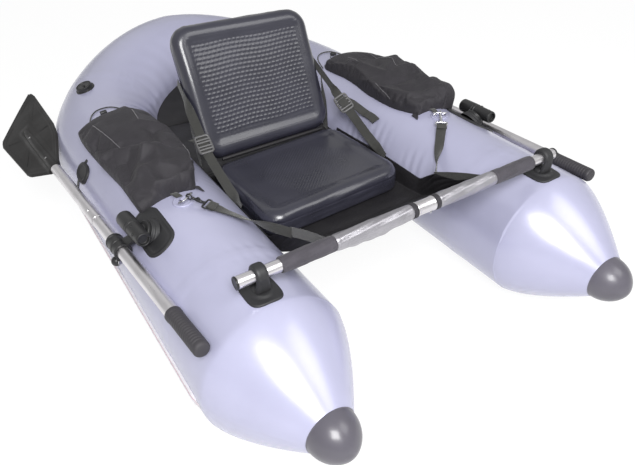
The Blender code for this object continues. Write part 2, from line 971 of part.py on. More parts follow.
def make_straps(looks):
    points, buckle, run = side_strap_points()
    across = []
    for index, point in enumerate(points):
        after = points[min(index + 1, len(points) - 1)]
        before = points[max(index - 1, 0)]
        across.append(X.cross((after - before).normalized()).normalized())
    upright = across[0]
    across[1:5] = [upright] * 4
    across = on_flank(points, across, web_strap_width)
    strap = ribbon(points, across, web_strap_width, web_strap_thickness)
    release_pair(strap, "side_strap", looks["black_webbing"])
    frame = place(buckle, run.cross(upright).normalized(), upright, run)
    body = block(frame, (buckle_thickness, buckle_width, buckle_length))
    slot = (web_strap_thickness + 4 * seat_gap, web_strap_width + 4 * seat_gap, 2 * buckle_length)
    body = joined(body, block(frame, slot), "DIFFERENCE")
    release_pair(body, "strap_buckle", looks["black_plastic"])
    step_x = back_width / 2 + strap_top_gap + web_strap_thickness + brace_step
    top = from_bar(step_x, brace_top_y, brace_top_z)
    foot = from_bar(step_x, brace_foot_y, deck_level + floor_thickness / 2 + 4 * seat_gap)
    points = line_points(top, foot, 3)
    brace = ribbon(points, [Y] * len(points), web_strap_width, web_strap_thickness)
    release_pair(brace, "brace_strap", looks["black_webbing"])


# D-rings and snap hooks


def ring_axis_point():
    return from_bar(leg_x, ring_y, crown_z + ring_patch_thickness + ring_wire + 3 * seat_gap)


def ring_directions():
    """Towards the hook, along the ring's bar, and up the leaning ring."""
    heading = math.radians(ring_heading)
    ahead = Vector((math.cos(heading), math.sin(heading), 0))
    bar = Z.cross(ahead)
    lean = math.radians(ring_lean)
    rise = ahead * math.cos(lean) + Z * math.sin(lean)
    return ahead, bar, rise


def make_rings(looks):
    ahead, bar, rise = ring_directions()
    axis = ring_axis_point()
    outline = circle_outline(ring_patch_radius, 28)
    patch = leg_skin(outline, 90, ring_y, ring_patch_thickness)
    tab_centre = axis - Z * (ring_tab_height / 2 - ring_wire * 1.9)
    tab = block(place(tab_centre, ahead, bar, Z), (ring_tab_length, ring_tab_width, ring_tab_height))
    patch = on_leg(joined(patch, tab, "UNION"))
    bore = rod(axis - bar * ring_tab_width, axis + bar * ring_tab_width, ring_wire + running_gap, 20)
    patch = joined(patch, bore, "DIFFERENCE")
    release_pair(patch, "ring_patch", looks["hull"])
    arc = [
        axis + bar * ring_half_width * math.cos(angle) + rise * (ring_side + ring_height * math.sin(angle))
        for angle in (math.pi * step / 12 for step in range(13))
    ]
    points = [axis - bar * ring_half_width, axis, axis + bar * ring_half_width]
    release_pair(wire(points + arc, ring_wire, True, 3), "d_ring", looks["steel"], axis)


def hook_line():
    """Axis of the snap hook: the point on the D-ring's arc it hangs from, and its direction."""
    ahead, bar, rise = ring_directions()
    hang = ring_axis_point() + rise * (ring_side + ring_height)
    drop = math.radians(hook_drop)
    return hang, (ahead * math.cos(drop) - Z * math.sin(drop)).normalized()


def leg_normal(point):
    """Outward normal of the +X leg below or beside a point."""
    return Vector((point.x - leg_x, 0, point.z - axis_z)).normalized()


def off_leg(point, clearance):
    """Moves a point out of the +X leg until it clears the skin."""
    short = hull_radius + clearance - Vector((point.x - leg_x, 0, point.z - axis_z)).length
    return point + leg_normal(point) * max(short, 0)


def make_hooks(looks):
    hang, run = hook_line()
    ahead, bar, rise = ring_directions()
    normal = run.cross(bar).normalized()
    centre = hang + run * (hook_loop - ring_wire - hook_wire - running_gap * 2)
    loop = [
        centre + run * hook_loop * math.cos(angle) + normal * hook_loop * math.sin(angle)
        for angle in (2 * math.pi * step / 20 for step in range(20))
    ]
    body = wire(loop, hook_wire, True, 3)
    start = centre + run * hook_loop
    end = start + run * hook_shank
    body = joined(body, rod(start, end, hook_shank_radius, 20), "UNION")
    far = end + run * hook_eye_length
    half = bar * hook_eye_half_width
    eye = [end - half, end, end + half, far + half, far, far - half]
    body = joined(body, wire(eye, hook_wire, True, 3), "UNION")
    release_pair(body, "snap_hook", looks["steel"])
    top = far + run * (hook_wire + 2 * seat_gap)
    peak = floor_point(1, gusset_row / (len(floor_rows()) - 1))
    below = floor_point(floor_fold_share, gusset_row / (len(floor_rows()) - 1))
    upright = (peak - below).normalized()
    reach = floor_thickness / 2 + web_strap_thickness / 2 + 2 * seat_gap
    foot = peak - upright * web_strap_width / 2 + upright.cross(-Y) * reach
    points = [off_leg(point, 2.5 * floor_thickness) for point in line_points(top, foot, 6)]
    across = []
    for index, point in enumerate(points):
        strap_run = points[min(index + 1, 6)] - points[max(index - 1, 0)]
        across.append(strap_run.cross(leg_normal(point)).normalized())
    across[0] = bar * math.copysign(1, across[0].dot(bar))
    across[-1] = upright * math.copysign(1, upright.dot(across[-2]))
    strap = ribbon(points, across, web_strap_width, web_strap_thickness)
    release_pair(strap, "front_strap", looks["black_webbing"])


# Side bags


def make_bags(looks):
    stations = 11
    around = 9
    loops = []
    for row in range(stations):
        v = row / (stations - 1)
        y = bag_front + (bag_rear - bag_front) * v
        fullness = max(math.sin(math.pi * v), 0.0) ** bag_end_share
        under = []
        over = []
        for column in range(around):
            u = column / (around - 1)
            angle = bag_outer_angle + (bag_inner_angle - bag_outer_angle) * u
            profile = math.sin(math.pi * u) ** bag_square_share
            height = bag_undercut * 0.5 + (bag_thickness - bag_undercut * 0.5) * profile * fullness
            base = from_bar(leg_x, y, axis_z)
            under.append(base + radial(angle) * (hull_radius - bag_undercut))
            over.append(base + radial(angle) * (hull_radius + seat_gap + height))
        loops.append(under + over[::-1])
    release_pair(on_leg(loft(loops)), "side_bag", looks["black_fabric"])


# Valves


def make_valves(looks):
    centre = stern_axis(valve_share)
    ahead = stern_axis(valve_share + 0.01)
    run = (ahead - stern_axis(valve_share - 0.01)).normalized()
    outward = Z.cross(run).normalized() * -1
    upward = run.cross(outward) * -1
    if upward.z < 0:
        upward = -upward
    tilt = math.radians(valve_angle)
    normal = outward * math.cos(tilt) + upward * math.sin(tilt)
    base = centre + normal * hull_flat
    top = valve_flange + valve_height
    floor = top - valve_cap_height
    # Flange, raised ring and the well that takes the cap
    profile = [
        (0, floor),
        (valve_well_radius, floor),
        (valve_well_radius, top),
        (valve_ring_radius, top),
        (valve_ring_radius, valve_flange),
        (valve_flange_radius, valve_flange * 0.7),
        (valve_flange_radius, -valve_flange * 2),
        (0, -valve_flange * 2),
    ]
    frame = frame_along(base, normal)
    body = joined(turned(profile, frame), hull_shape(2 * seat_gap), "DIFFERENCE")
    release_pair(body, "valve_body", looks["black_plastic"])
    cap_radius = valve_well_radius - running_gap
    profile = [
        (0, top),
        (cap_radius * 0.93, top),
        (cap_radius, top - valve_flange * 0.3),
        (cap_radius, floor + running_gap),
        (0, floor + running_gap),
    ]
    cap = turned(profile, frame)
    grip = frame.copy()
    grip.translation = base + normal * top
    size = (valve_handle_length, valve_handle_width, 2 * valve_handle_height)
    release_pair(joined(cap, block(grip, size), "UNION"), "valve_cap", looks["black_plastic"], base)


# Oars


def oar_direction():
    return Vector((oar_spread_share, 1, oar_drop_share)).normalized()


def oar_point(along):
    """Point on the stowed +X oar's axis, measured from the collar towards the blade."""
    collar = from_bar(leg_x + collar_offset_x, collar_y, axis_z + collar_offset_z)
    return collar + oar_direction() * along


def oar_frame(along):
    """Frame on the oar's axis: X across the blade inboard, Z to the blade."""
    run = oar_direction()
    normal = radial(blade_normal_angle)
    across = run.cross(normal).normalized()
    if across.x > 0:
        across = -across
    return place(oar_point(along), across, run.cross(across), run)


def make_oars(looks):
    pivot = oar_point(0)
    length = shaft_reach + grip_front - grip_end_wall
    shaft = turned(
        tube_profile(oar_radius, oar_wall, length), oar_frame(-grip_front + grip_end_wall)
    )
    button_centre = oar_point(oar_button_reach)
    out = radial(blade_normal_angle)
    out = (out - oar_direction() * out.dot(oar_direction())).normalized()
    bore = rod(button_centre, button_centre + out * 2 * oar_radius, oar_button_radius + running_gap, 16)
    release_pair(joined(shaft, bore, "DIFFERENCE"), "oar_shaft", looks["aluminium"], pivot)
    root = oar_radius * 0.5
    button = make_button(
        button_centre, out, oar_radius, oar_button_radius, oar_button_height, root
    )
    release_pair(button, "oar_button", looks["steel"], button_centre)
    inner = oar_radius + seat_gap
    profile = [(0, 0), (grip_radius * 0.8, 0), (grip_radius, grip_end_wall / 2)]
    ribs = [(grip_radius, grip_end_wall)]
    pitch = (grip_length - grip_ring_length - grip_end_wall) / grip_ribs
    for rib in range(grip_ribs):
        start = grip_end_wall + pitch * rib
        ribs.append((grip_radius, start + pitch * 0.6))
        ribs.append((grip_radius - grip_rib_depth, start + pitch * 0.68))
        ribs.append((grip_radius - grip_rib_depth, start + pitch * 0.9))
        ribs.append((grip_radius, start + pitch * 0.98))
    ring = grip_length - grip_ring_length
    profile += ribs
    profile += [(grip_ring_radius, ring), (grip_ring_radius, grip_length), (inner, grip_length)]
    profile += [(inner, grip_end_wall - seat_gap), (0, grip_end_wall - seat_gap)]
    grip = turned(profile[::-1], oar_frame(-grip_front), 18)
    release_pair(grip, "oar_grip", looks["black_rubber"], pivot)
    make_blade(looks, pivot)


def blade_outline():
    """Half widths along the blade: straight root, wide shoulder, square tip. (across, along)"""
    lower_shares = [
        (-0.14, 0.0),
        (-0.22, 0.006),
        (-0.75, 0.155),
        (-0.80, 0.205),
        (-0.94, 0.70),
        (-0.86, 0.765),
    ]
    upper_shares = [
        (0.84, 1.0),
        (0.97, 0.985),
        (1.0, 0.915),
        (0.84, 0.42),
        (0.70, 0.28),
        (0.22, 0.045),
        (0.14, 0.0),
    ]
    shares = lower_shares + upper_shares
    return [(across * blade_half_width, along * blade_length) for across, along in shares]


def make_blade(looks, pivot):
    frame = oar_frame(shaft_reach + seat_gap)
    # The plate's frame: across, along the oar, and the face normal
    across = frame.col[0].to_3d()
    run = frame.col[2].to_3d()
    face = place(frame.translation, across, run, across.cross(run))
    blade = plate([blade_outline()[::-1]], face, blade_thickness)
    start = frame.translation
    neck = start + run * blade_length * blade_rib_share
    rib = rod(start, neck, oar_radius, 20, blade_rib_radius * 0.3)
    plug = rod(start - run * blade_plug, start + run * blade_thickness, oar_radius - oar_wall - seat_gap, 20)
    blade = joined(joined(blade, rib, "UNION"), plug, "UNION")
    release_pair(blade, "oar_blade", looks["black_plastic"], pivot)


# Oarlocks


def lock_base_point():
    """Centre of the lock's boss on the skin of the +X leg."""
    return from_bar(leg_x, lock_y, axis_z) + radial(lock_boss_angle) * hull_radius


def make_locks(looks):
    base = lock_base_point()
    normal = radial(lock_axis_angle)
    outline = rounded_outline(lock_patch_width, lock_patch_length, lock_patch_width * 0.49, 7)
    patch = leg_skin(outline, lock_patch_angle, lock_y, lock_patch_thickness)
    boss = rod(base - normal * lock_boss_height, base + normal * lock_boss_height, lock_boss_radius, 32)
    patch = on_leg(joined(patch, boss, "UNION"))
    bore_end = base + normal * (lock_boss_height + overrun)
    floor = lock_boss_height + seat_gap - lock_spigot_height
    bore = rod(base + normal * (floor - running_gap), bore_end, lock_spigot_radius + running_gap, 24)
    release_pair(joined(patch, bore, "DIFFERENCE"), "oarlock_base", looks["black_rubber"])
    low = lock_boss_height + running_gap
    disc = rod(base + normal * low, base + normal * (low + lock_disc_height), lock_disc_radius, 32)
    spigot = rod(base + normal * floor, base + normal * (low + lock_disc_height / 2), lock_spigot_radius, 24)
    body = joined(disc, spigot, "UNION")
    collar_half = oar_direction() * collar_length / 2
    collar = oar_point(0)
    ring = rod(collar - collar_half, collar + collar_half, collar_radius, 28)
    # A slanted web carries the collar from the disc
    foot = base + normal * (low + lock_eye_height / 2)
    span = collar - foot
    reach = (span - Y * span.y).normalized()
    middle = foot.lerp(collar, 0.5)
    side = reach.cross(Y).normalized()
    arm = loft(
        [
            [
                foot + Y * edge * lock_arm_inner * 0.9 + side * face * lock_eye_height / 2
                for edge, face in ((-1, -1), (1, -1), (1, 1), (-1, 1))
            ],
            [
                collar + Y * edge * lock_arm_inner + side * face * lock_eye_height / 2
                for edge, face in ((-1, -1), (1, -1), (1, 1), (-1, 1))
            ],
        ]
    )
    body = joined(joined(body, ring, "UNION"), arm, "UNION")
    lift = low + lock_disc_height + lock_barrel_radius * 0.8
    barrel_middle = base + normal * lift + oar_direction() * lock_barrel_shift
    half = oar_direction() * lock_barrel_length / 2
    barrel = rod(barrel_middle - half, barrel_middle + half, lock_barrel_radius, 24)
    body = joined(body, barrel, "UNION")
    bore = rod(collar - collar_half * 2, collar + collar_half * 2, oar_radius + running_gap, 28)
    body = joined(body, bore, "DIFFERENCE")
    out = radial(-68)
    out = (out - oar_direction() * out.dot(oar_direction())).normalized()
    seat = collar + out * (collar_radius - pin_depth)
    pin_bore = rod(seat, collar + out * 2 * collar_radius, pin_radius + running_gap, 16)
    body = joined(body, pin_bore, "DIFFERENCE")
    release_pair(body, "oarlock_swivel", looks["black_plastic"], base)
    make_pin(looks, collar, out)


def make_pin(looks, collar, out):
    surface = collar_radius + seat_gap
    ball = surface + pin_neck + pin_ball_radius
    steps = 10
    profile = [
        (
            pin_ball_radius * math.sin(math.pi * step / steps * 0.86),
            ball + pin_ball_radius * math.cos(math.pi * step / steps * 0.86),
        )
        for step in range(steps + 1)
    ]
    profile += [
        (pin_neck_radius, surface + pin_neck * 0.4),
        (pin_neck_radius, surface),
        (pin_radius, surface),
        (pin_radius, collar_radius - pin_depth + running_gap),
        (0, collar_radius - pin_depth + running_gap),
    ]
    body = turned(profile, frame_along(collar, out, X), 20)
    release_pair(body, "lock_pin", looks["black_plastic"], collar)


# Oar keepers


def make_keepers(looks):
    lug_outline = rounded_outline(keeper_patch_width, keeper_patch_length, keeper_patch_width / 3, 4)
    lug = leg_skin(lug_outline, keeper_patch_angle, keeper_y, keeper_patch_thickness)
    strap_outline = rounded_outline(keeper_strap_width, keeper_strap_length, keeper_strap_length / 5, 2)
    strap = leg_skin(strap_outline, keeper_strap_angle, keeper_y, keeper_strap_thickness)
    tab_outline = rounded_outline(keeper_tab_width, keeper_tab_length, keeper_tab_width / 4, 3)
    tab = leg_skin(tab_outline, keeper_tab_angle, keeper_y, keeper_tab_thickness)
    body = joined(joined(lug, strap, "UNION"), tab, "UNION")
    release_pair(on_leg(body), "oar_keeper", looks["black_rubber"])


def main():
    clear_scene()
    looks = {
        "hull": finish("silver_pvc", (0.42, 0.44, 0.54), 0.38, 0.15),
        "cap": finish("black_pvc", (0.03, 0.03, 0.035), 0.45),
        "strake": finish("white_pvc", (0.82, 0.8, 0.82), 0.4),
        "aluminium": finish("anodised_aluminium", (0.72, 0.72, 0.75), 0.32, 1.0),
        "steel": finish("plated_steel", (0.7, 0.7, 0.7), 0.2, 1.0),
        "black_plastic": finish("black_plastic", (0.02, 0.02, 0.022), 0.4),
        "black_rubber": finish("black_rubber", (0.025, 0.025, 0.027), 0.6),
        "black_fabric": finish("black_fabric", (0.03, 0.03, 0.033), 0.85),
        "silver_fabric": finish("silver_fabric", (0.5, 0.5, 0.53), 0.7),
        "black_webbing": finish("black_webbing", (0.025, 0.025, 0.027), 0.8),
        "vinyl": finish("black_vinyl", (0.022, 0.022, 0.026), 0.42),
    }
    make_hull(looks)
    make_caps(looks)
    make_strakes(looks)
    make_crossbar(looks)
    make_mounts(looks)
    make_sleeves(looks)
    make_seat(looks)
    make_floor(looks)
    make_straps(looks)
    make_rings(looks)
    make_hooks(looks)
    make_bags(looks)
    make_valves(looks)
    make_oars(looks)
    make_locks(looks)
    make_keepers(looks)
    bpy.context.view_layer.update()


main()
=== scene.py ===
"""Float tube: finished surfaces, materials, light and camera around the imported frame.

Metres, +Z up, +Y to the stern. Distances called y are measured from the crossbar. Pieces that
come in pairs are worked out on the +X side and mirrored. Angles round a leg are in degrees above
level on its outboard side. Builders name a material by its key in LOOKS.
"""

import math

import bpy
import numpy as np
from mathutils import Matrix, Vector


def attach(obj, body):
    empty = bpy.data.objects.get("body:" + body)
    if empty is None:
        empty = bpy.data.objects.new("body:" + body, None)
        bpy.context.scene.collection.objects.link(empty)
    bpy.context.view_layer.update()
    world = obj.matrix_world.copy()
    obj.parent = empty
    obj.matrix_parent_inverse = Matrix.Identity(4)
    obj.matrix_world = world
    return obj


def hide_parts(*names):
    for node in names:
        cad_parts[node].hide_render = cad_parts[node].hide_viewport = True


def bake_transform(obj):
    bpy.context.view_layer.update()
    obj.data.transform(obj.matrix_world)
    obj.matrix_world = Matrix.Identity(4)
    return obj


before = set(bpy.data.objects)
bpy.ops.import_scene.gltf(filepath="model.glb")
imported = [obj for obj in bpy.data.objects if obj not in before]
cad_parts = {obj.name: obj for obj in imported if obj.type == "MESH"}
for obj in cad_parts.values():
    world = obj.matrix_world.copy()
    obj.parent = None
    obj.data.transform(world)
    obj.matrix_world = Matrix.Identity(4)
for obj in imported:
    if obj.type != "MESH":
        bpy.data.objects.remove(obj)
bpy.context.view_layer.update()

bl_info = {
    "name": "Float Tube",
    "version": (1, 0, 0),
    "blender": (4, 5, 0),
    "location": "View3D > Sidebar > Float Tube",
    "description": "Builds a float tube with its seat, crossbar, bags and oars",
    "category": "Object",
}

PIECES = "float_tube_pieces"
RIGHT = 1
LEFT = -1
SIDES = ((RIGHT, "right"), (LEFT, "left"))
ACROSS = np.array((1.0, 0, 0))
UP = np.array((0, 0, 1.0))
OPEN = (None, None)
CAPPED = ("mean", "mean")

# Hull
BAR_Y = -0.6232
LEG_X = 0.385
HULL_R = 0.165
AXIS_Z = 0.163588
CROWN_Z = AXIS_Z + HULL_R
LEG_END = 1.0
STERN_DEPTH = 0.382
STERN_ROUND = 1.7
STERN_RISE = 0.088
STERN_RISE_SHARE = 1.8
CONE_START = -0.045
CONE_END = -0.2334
CONE_END_R = 0.0523
CONE_BULGE = 1.3
CONE_TOE = 0.0076
NOSE_LENGTH = 0.029
NOSE_R = 0.035
CAP_LENGTH = 0.0672
SEAMS = (0.105, 0.40, 0.5, 0.60, 0.895)
DENTS = ((0.47, 150, 0.0016), (0.57, 158, 0.0014), (0.30, 150, 0.0012), (0.80, 145, 0.0012))
STRAKE_ANGLE = -7.5
STRAKE_HALF = 0.015
STRAKE_Y = (-0.04, 0.86)

# Crossbar
BAR_Z = 0.368776
BAR_R = 0.0127
TUBE_WALL = 0.0014
BAR_GAP = 0.0004
FERRULE_X = 0.014
FERRULE_HALF = 0.0245
FERRULE_R = 0.0162
BAR_LEFT = -0.4265
BAR_RIGHT = 0.4105
SLEEVE_R = 0.0168
DARK_SLEEVE = (0.2145, 0.336)
APRONS = {LEFT: (-0.214, -0.0215), RIGHT: (0.05, 0.214)}
APRON_HEM = {LEFT: 0.011, RIGHT: 0.004}
MOUNT_X = 0.381
MOUNT_SIZE = (0.072, 0.085)
MOUNT_T = 0.004

# Seat
SEAT_FRONT = 0.290
SEAT_REAR = 0.6405
SEAT_W = 0.428
SEAT_T = 0.066
SEAT_FRONT_TOP = 0.2585
SEAT_REAR_TOP = 0.2385
HINGE = (0, 0.6411, 0.23846)
BACK_W = 0.416
BACK_L = 0.358
BACK_T = 0.055
BACK_RECLINE = math.radians(24.6)
FOAM_CORNER = 0.056
FOAM_EDGE = 0.025
FOAM_FOOT = 0.012
FOAM_CROWN = 0.0012
SEAT_SKEW = 0.05
BACK_SLANT = 0.045
FOAM_WAVES = 0.0011
TRAY_EDGE = 0.030
TRAY_FALL = 0.028
TRAY_END = 0.060
TRAY_GRID = 0.00135

# Cloth
CLOTH_T = 0.0018
FLOOR_FRONT = (0.0163, 0.36284)
FLOOR_UNDER = 0.1903
FLOOR_REAR = 0.1706
FLOOR_CLEAR = 0.0035
FLOOR_FLAT = 0.62
DECK_LEVEL = 0.204
DECK_CLIMB = 0.054
DECK_FRONT = 0.641
DECK_SHARE = 0.42
DECK_SAG = 0.012

# Straps, rings and hooks
STRAP_W = 0.026
STRAP_TOP = (BACK_W / 2 + 0.0013, 0.792, 0.426)
BUCKLE = (SEAT_W / 2 + 0.012, 0.608, 0.318)
BUCKLE_SIZE = (0.043, 0.058)
BUCKLE_BARS = (-0.24, -0.10, 0.12, 0.27)
ANCHOR = (0.404, 0.232)
STRAP_LEAN = {RIGHT: 0.55, LEFT: -0.25}
STRAP_TURN = {RIGHT: (0.32, 0.10), LEFT: (0.06, 0.30)}
STRAP_TAIL = {
    RIGHT: (
        (0.012, 0, 0.0050), (-0.012, 0, 0.0072), (0.006, 0.020, 0.007),
        (0.046, 0.038, 0.004), (0.084, 0.054, 0), (0.120, 0.064, 0),
    ),
    LEFT: ((0.014, 0, -0.0040), (-0.006, 0, -0.0075), (-0.022, 0.010, -0.011), (-0.036, 0.022, -0.018)),
}
BRACE_TOP = (BACK_W / 2 + 0.0051, 0.712, 0.372)
BRACE_FOOT = (0.69, 0.2065)
GUSSET = (0.207, 0.176, 0.296)
RING_Y = 0.367
RING_PATCH_R = 0.024
RING_PATCH_T = 0.0025
RING_WIRE = 0.0022
RING_HALF = 0.0185
RING_SIDE = 0.016
RING_RISE = 0.0055
RING_LEAN = math.radians(35)
RING_HEADING = math.radians(234)
HOOK_LOOP = 0.0066
HOOK_WIRE = 0.0018
HOOK_SHANK = 0.034
HOOK_EYE = 0.011
HOOK_EYE_HALF = 0.0155
HOOK_DROP = math.radians(12)

# Side bags: shares along a bag, then per side the angles of its outer and inner edges and its
# heights in millimetres at the outer edge and on the crown.
BAG_Y = (0.406, 0.885)
BAG_LENGTH = BAG_Y[1] - BAG_Y[0]
BAG_WIDTH = 0.21
BAG_ROWS = 132
BAG_COLS = 56
BAG_UNDER = 22
BAG_TOP = 0.072
BAG_STATIONS = (0.0, 0.06, 0.18, 0.30, 0.45, 0.60, 0.72, 0.86, 0.96, 1.0)
BAG_FORM = {
    RIGHT: (
        (58, 58, 58, 58, 58, 58, 58, 58, 58, 60),
        (103, 107, 112, 113, 113, 110, 109, 111, 112, 106),
        (40, 66, 68, 65, 67, 65, 57, 42, 28, 14),
        (26, 36, 36, 34, 34, 34, 32, 30, 24, 12),
    ),
    LEFT: (
        (57, 57, 57, 57, 55, 53, 52, 51, 52, 57),
        (106, 111, 117, 122, 125, 127, 127, 127, 126, 121),
        (14, 27, 36, 42, 44, 42, 38, 34, 28, 14),
        (26, 38, 44, 47, 47, 45, 41, 37, 29, 12),
    ),
}
# Folds: height and width in millimetres and a polyline of shares across and along the bag.
BAG_FOLD_SCALE = {RIGHT: 1.5, LEFT: 2.1}
BAG_FOLDS = {
    RIGHT: (
        (6.0, 11, ((0.95, 0.92), (0.84, 0.66), (0.89, 0.40), (0.78, 0.13), (0.30, 0.05))),
        (7.0, 12, ((0.75, 0.75), (0.57, 0.44), (0.20, 0.60), (0.05, 0.62))),
        (-6.0, 14, ((0.45, 0.60), (0.30, 0.72))),
        (6.0, 11, ((0.03, 0.54), (0.18, 0.34), (0.30, 0.16))),
        (-7.0, 13, ((0.62, 0.10), (0.66, 0.32), (0.40, 0.30))),
        (5.0, 9, ((0.97, 0.55), (0.90, 0.44), (0.97, 0.24))),
    ),
    LEFT: (
        (8.0, 12, ((0.03, 0.46), (0.22, 0.454), (0.36, 0.379), (0.45, 0.304))),
        (-7.0, 15, ((0.10, 0.66), (0.24, 0.53), (0.36, 0.46))),
        (6.0, 10, ((0.45, 0.304), (0.33, 0.235), (0.27, 0.13))),
        (-7.0, 13, ((0.16, 0.20), (0.22, 0.34))),
        (-8.0, 9, ((0.67, 0.554), (0.60, 0.398), (0.77, 0.342))),
        (5.0, 10, ((0.58, 0.335), (0.53, 0.146), (0.77, 0.104), (0.97, 0.175))),
        (7.0, 9, ((0.37, 0.158), (0.43, 0.035), (0.64, 0.02), (0.88, 0.045), (0.98, 0.13))),
        (-9.0, 11, ((0.55, 0.075), (0.86, 0.10))),
        (4.0, 9, ((0.64, 0.95), (0.62, 0.667), (0.80, 0.60))),
        (4.0, 8, ((0.245, 0.81), (0.30, 0.55))),
    ),
}
BAG_PIPING = (((0.24, 0.82), (0.30, 0.47)), ((0.65, 0.83), (0.61, 0.67)), ((0.88, 0.37), (0.95, 0.22)))
DRAW_CORD = (
    (66.0, 0.872), (67.8, 0.901), (73.2, 0.939), (80.8, 0.960),
    (90.5, 0.963), (98.8, 0.955), (105.8, 0.928), (112.0, 0.872),
)
DRAW_LOOP = ((74.0, 0.87), (77.0, 0.905), (84.0, 0.925), (91.0, 0.915), (95.0, 0.87))
BAG_CLOTH = {
    "quality": 5,
    "mass": 0.2,
    "tension_stiffness": 25,
    "compression_stiffness": 25,
    "shear_stiffness": 8,
    "bending_stiffness": 1.6,
    "shrink_min": -0.07,
    "use_pressure": True,
    "uniform_pressure_force": 1.2,
}
CLOTH_FRAMES = 14
CLOTH_CAP = 0.006

# Valves
VALVE_SHARE = 0.1355
VALVE_TILT = math.radians(75)
VALVE_TOP = 0.0125
VALVE_WELL = 0.0048

# Oars
OAR_R = 0.0148
COLLAR = (0.5465, 0.376, 0.261788)
OAR_RUN = (0.0530, 1.0, -0.0670)
GRIP_FRONT = 0.423
SHAFT_REACH = 0.500
BLADE_L = 0.560
BLADE_HALF = 0.098
BLADE_ANGLE = 57.7
BLADE_RIM = (
    (-0.14, 0.0), (-0.22, 0.006), (-0.75, 0.155), (-0.80, 0.205), (-0.94, 0.70), (-0.86, 0.765), (0.84, 1.0),
    (0.97, 0.985), (1.0, 0.915), (0.84, 0.42), (0.70, 0.28), (0.22, 0.045), (0.14, 0.0),
)
BLADE_HALF_T = 0.00275
BLADE_GAP = 0.0003

# Oarlocks and keepers
LOCK_Y = 0.335
LOCK_PATCH_ANGLE = 56.5
LOCK_ANGLE = 54.0
LOCK_TILT = 35.0
SWIVEL_FOOT = 0.0129
COLLAR_R = 0.0206
COLLAR_HALF = 0.029
ARM_HALF_T = 0.00625
KNOB_R = 0.012
KNOB_ANGLE = -68
KNOB_NECK = 0.0038
KEEPER_Y = 0.775

# Stage: the camera's azimuth, elevation and roll in degrees, its place, and each lamp's place and width
CAMERA_TURN = (-31.5693, 36.6042, -1.5055)
CAMERA_SPOT = (-0.7414, -0.7973, 1.1053)
FLOOR_GLOW = 1.07
FLOOR_GLOW_SHARE = 0.86
SKY_IN_MIRRORS = 0.32
LAMPS = (
    ("key", (-1.05, -2.3, 2.35), 1.3),
    ("fill", (1.2, -2.0, 2.6), 1.5),
    ("back", (0.2, 3.0, 2.4), 2.4),
)


def from_bar(x, y, z):
    return np.array((x, BAR_Y + y, z), dtype=float)


def unit(v):
    """Vectors scaled to length one along the last axis."""
    v = np.asarray(v, dtype=float)
    return v / np.maximum(np.linalg.norm(v, axis=-1, keepdims=True), 1e-12)


def smoothstep(t):
    """0 below 0, 1 above 1, and 3t^2 - 2t^3 between."""
    t = np.clip(t, 0, 1)
    return t * t * (3 - 2 * t)


def hill(t, at, width):
    """Bell curve of height 1."""
    return np.exp(-(((t - at) / width) ** 2))


def turns(count):
    return np.linspace(0, 2 * math.pi, count, endpoint=False)


def squircle(turn, power):
    """Reach of a superellipse of half width 1 at an angle."""
    return (np.abs(np.cos(turn)) ** power + np.abs(np.sin(turn)) ** power) ** (-1 / power)


def running_sum(steps):
    return np.concatenate([[0], np.cumsum(steps)])


def running_mean(values, size):
    """Moving average with the end values held."""
    pad = size // 2
    padded = np.concatenate([np.full(pad, values[0]), values, np.full(pad, values[-1])])
    return np.convolve(padded, np.ones(size) / size, "valid")


def stacked(*parts):
    return np.stack(np.broadcast_arrays(*parts), -1)


def ripple(a, b, seed, waves=7, low=3.0, high=14.0):
    """Smooth repeatable unevenness between -1 and 1: a sum of sine waves in random directions."""
    draw = np.random.default_rng(seed)
    total = np.zeros(np.broadcast(a, b).shape)
    for _ in range(waves):
        turn = draw.uniform(0, 2 * math.pi)
        pitch = draw.uniform(low, high)
        phase = draw.uniform(0, 2 * math.pi)
        total = total + np.sin(pitch * (a * math.cos(turn) + b * math.sin(turn)) + phase)
    return total / waves * 1.6


# Mesh making


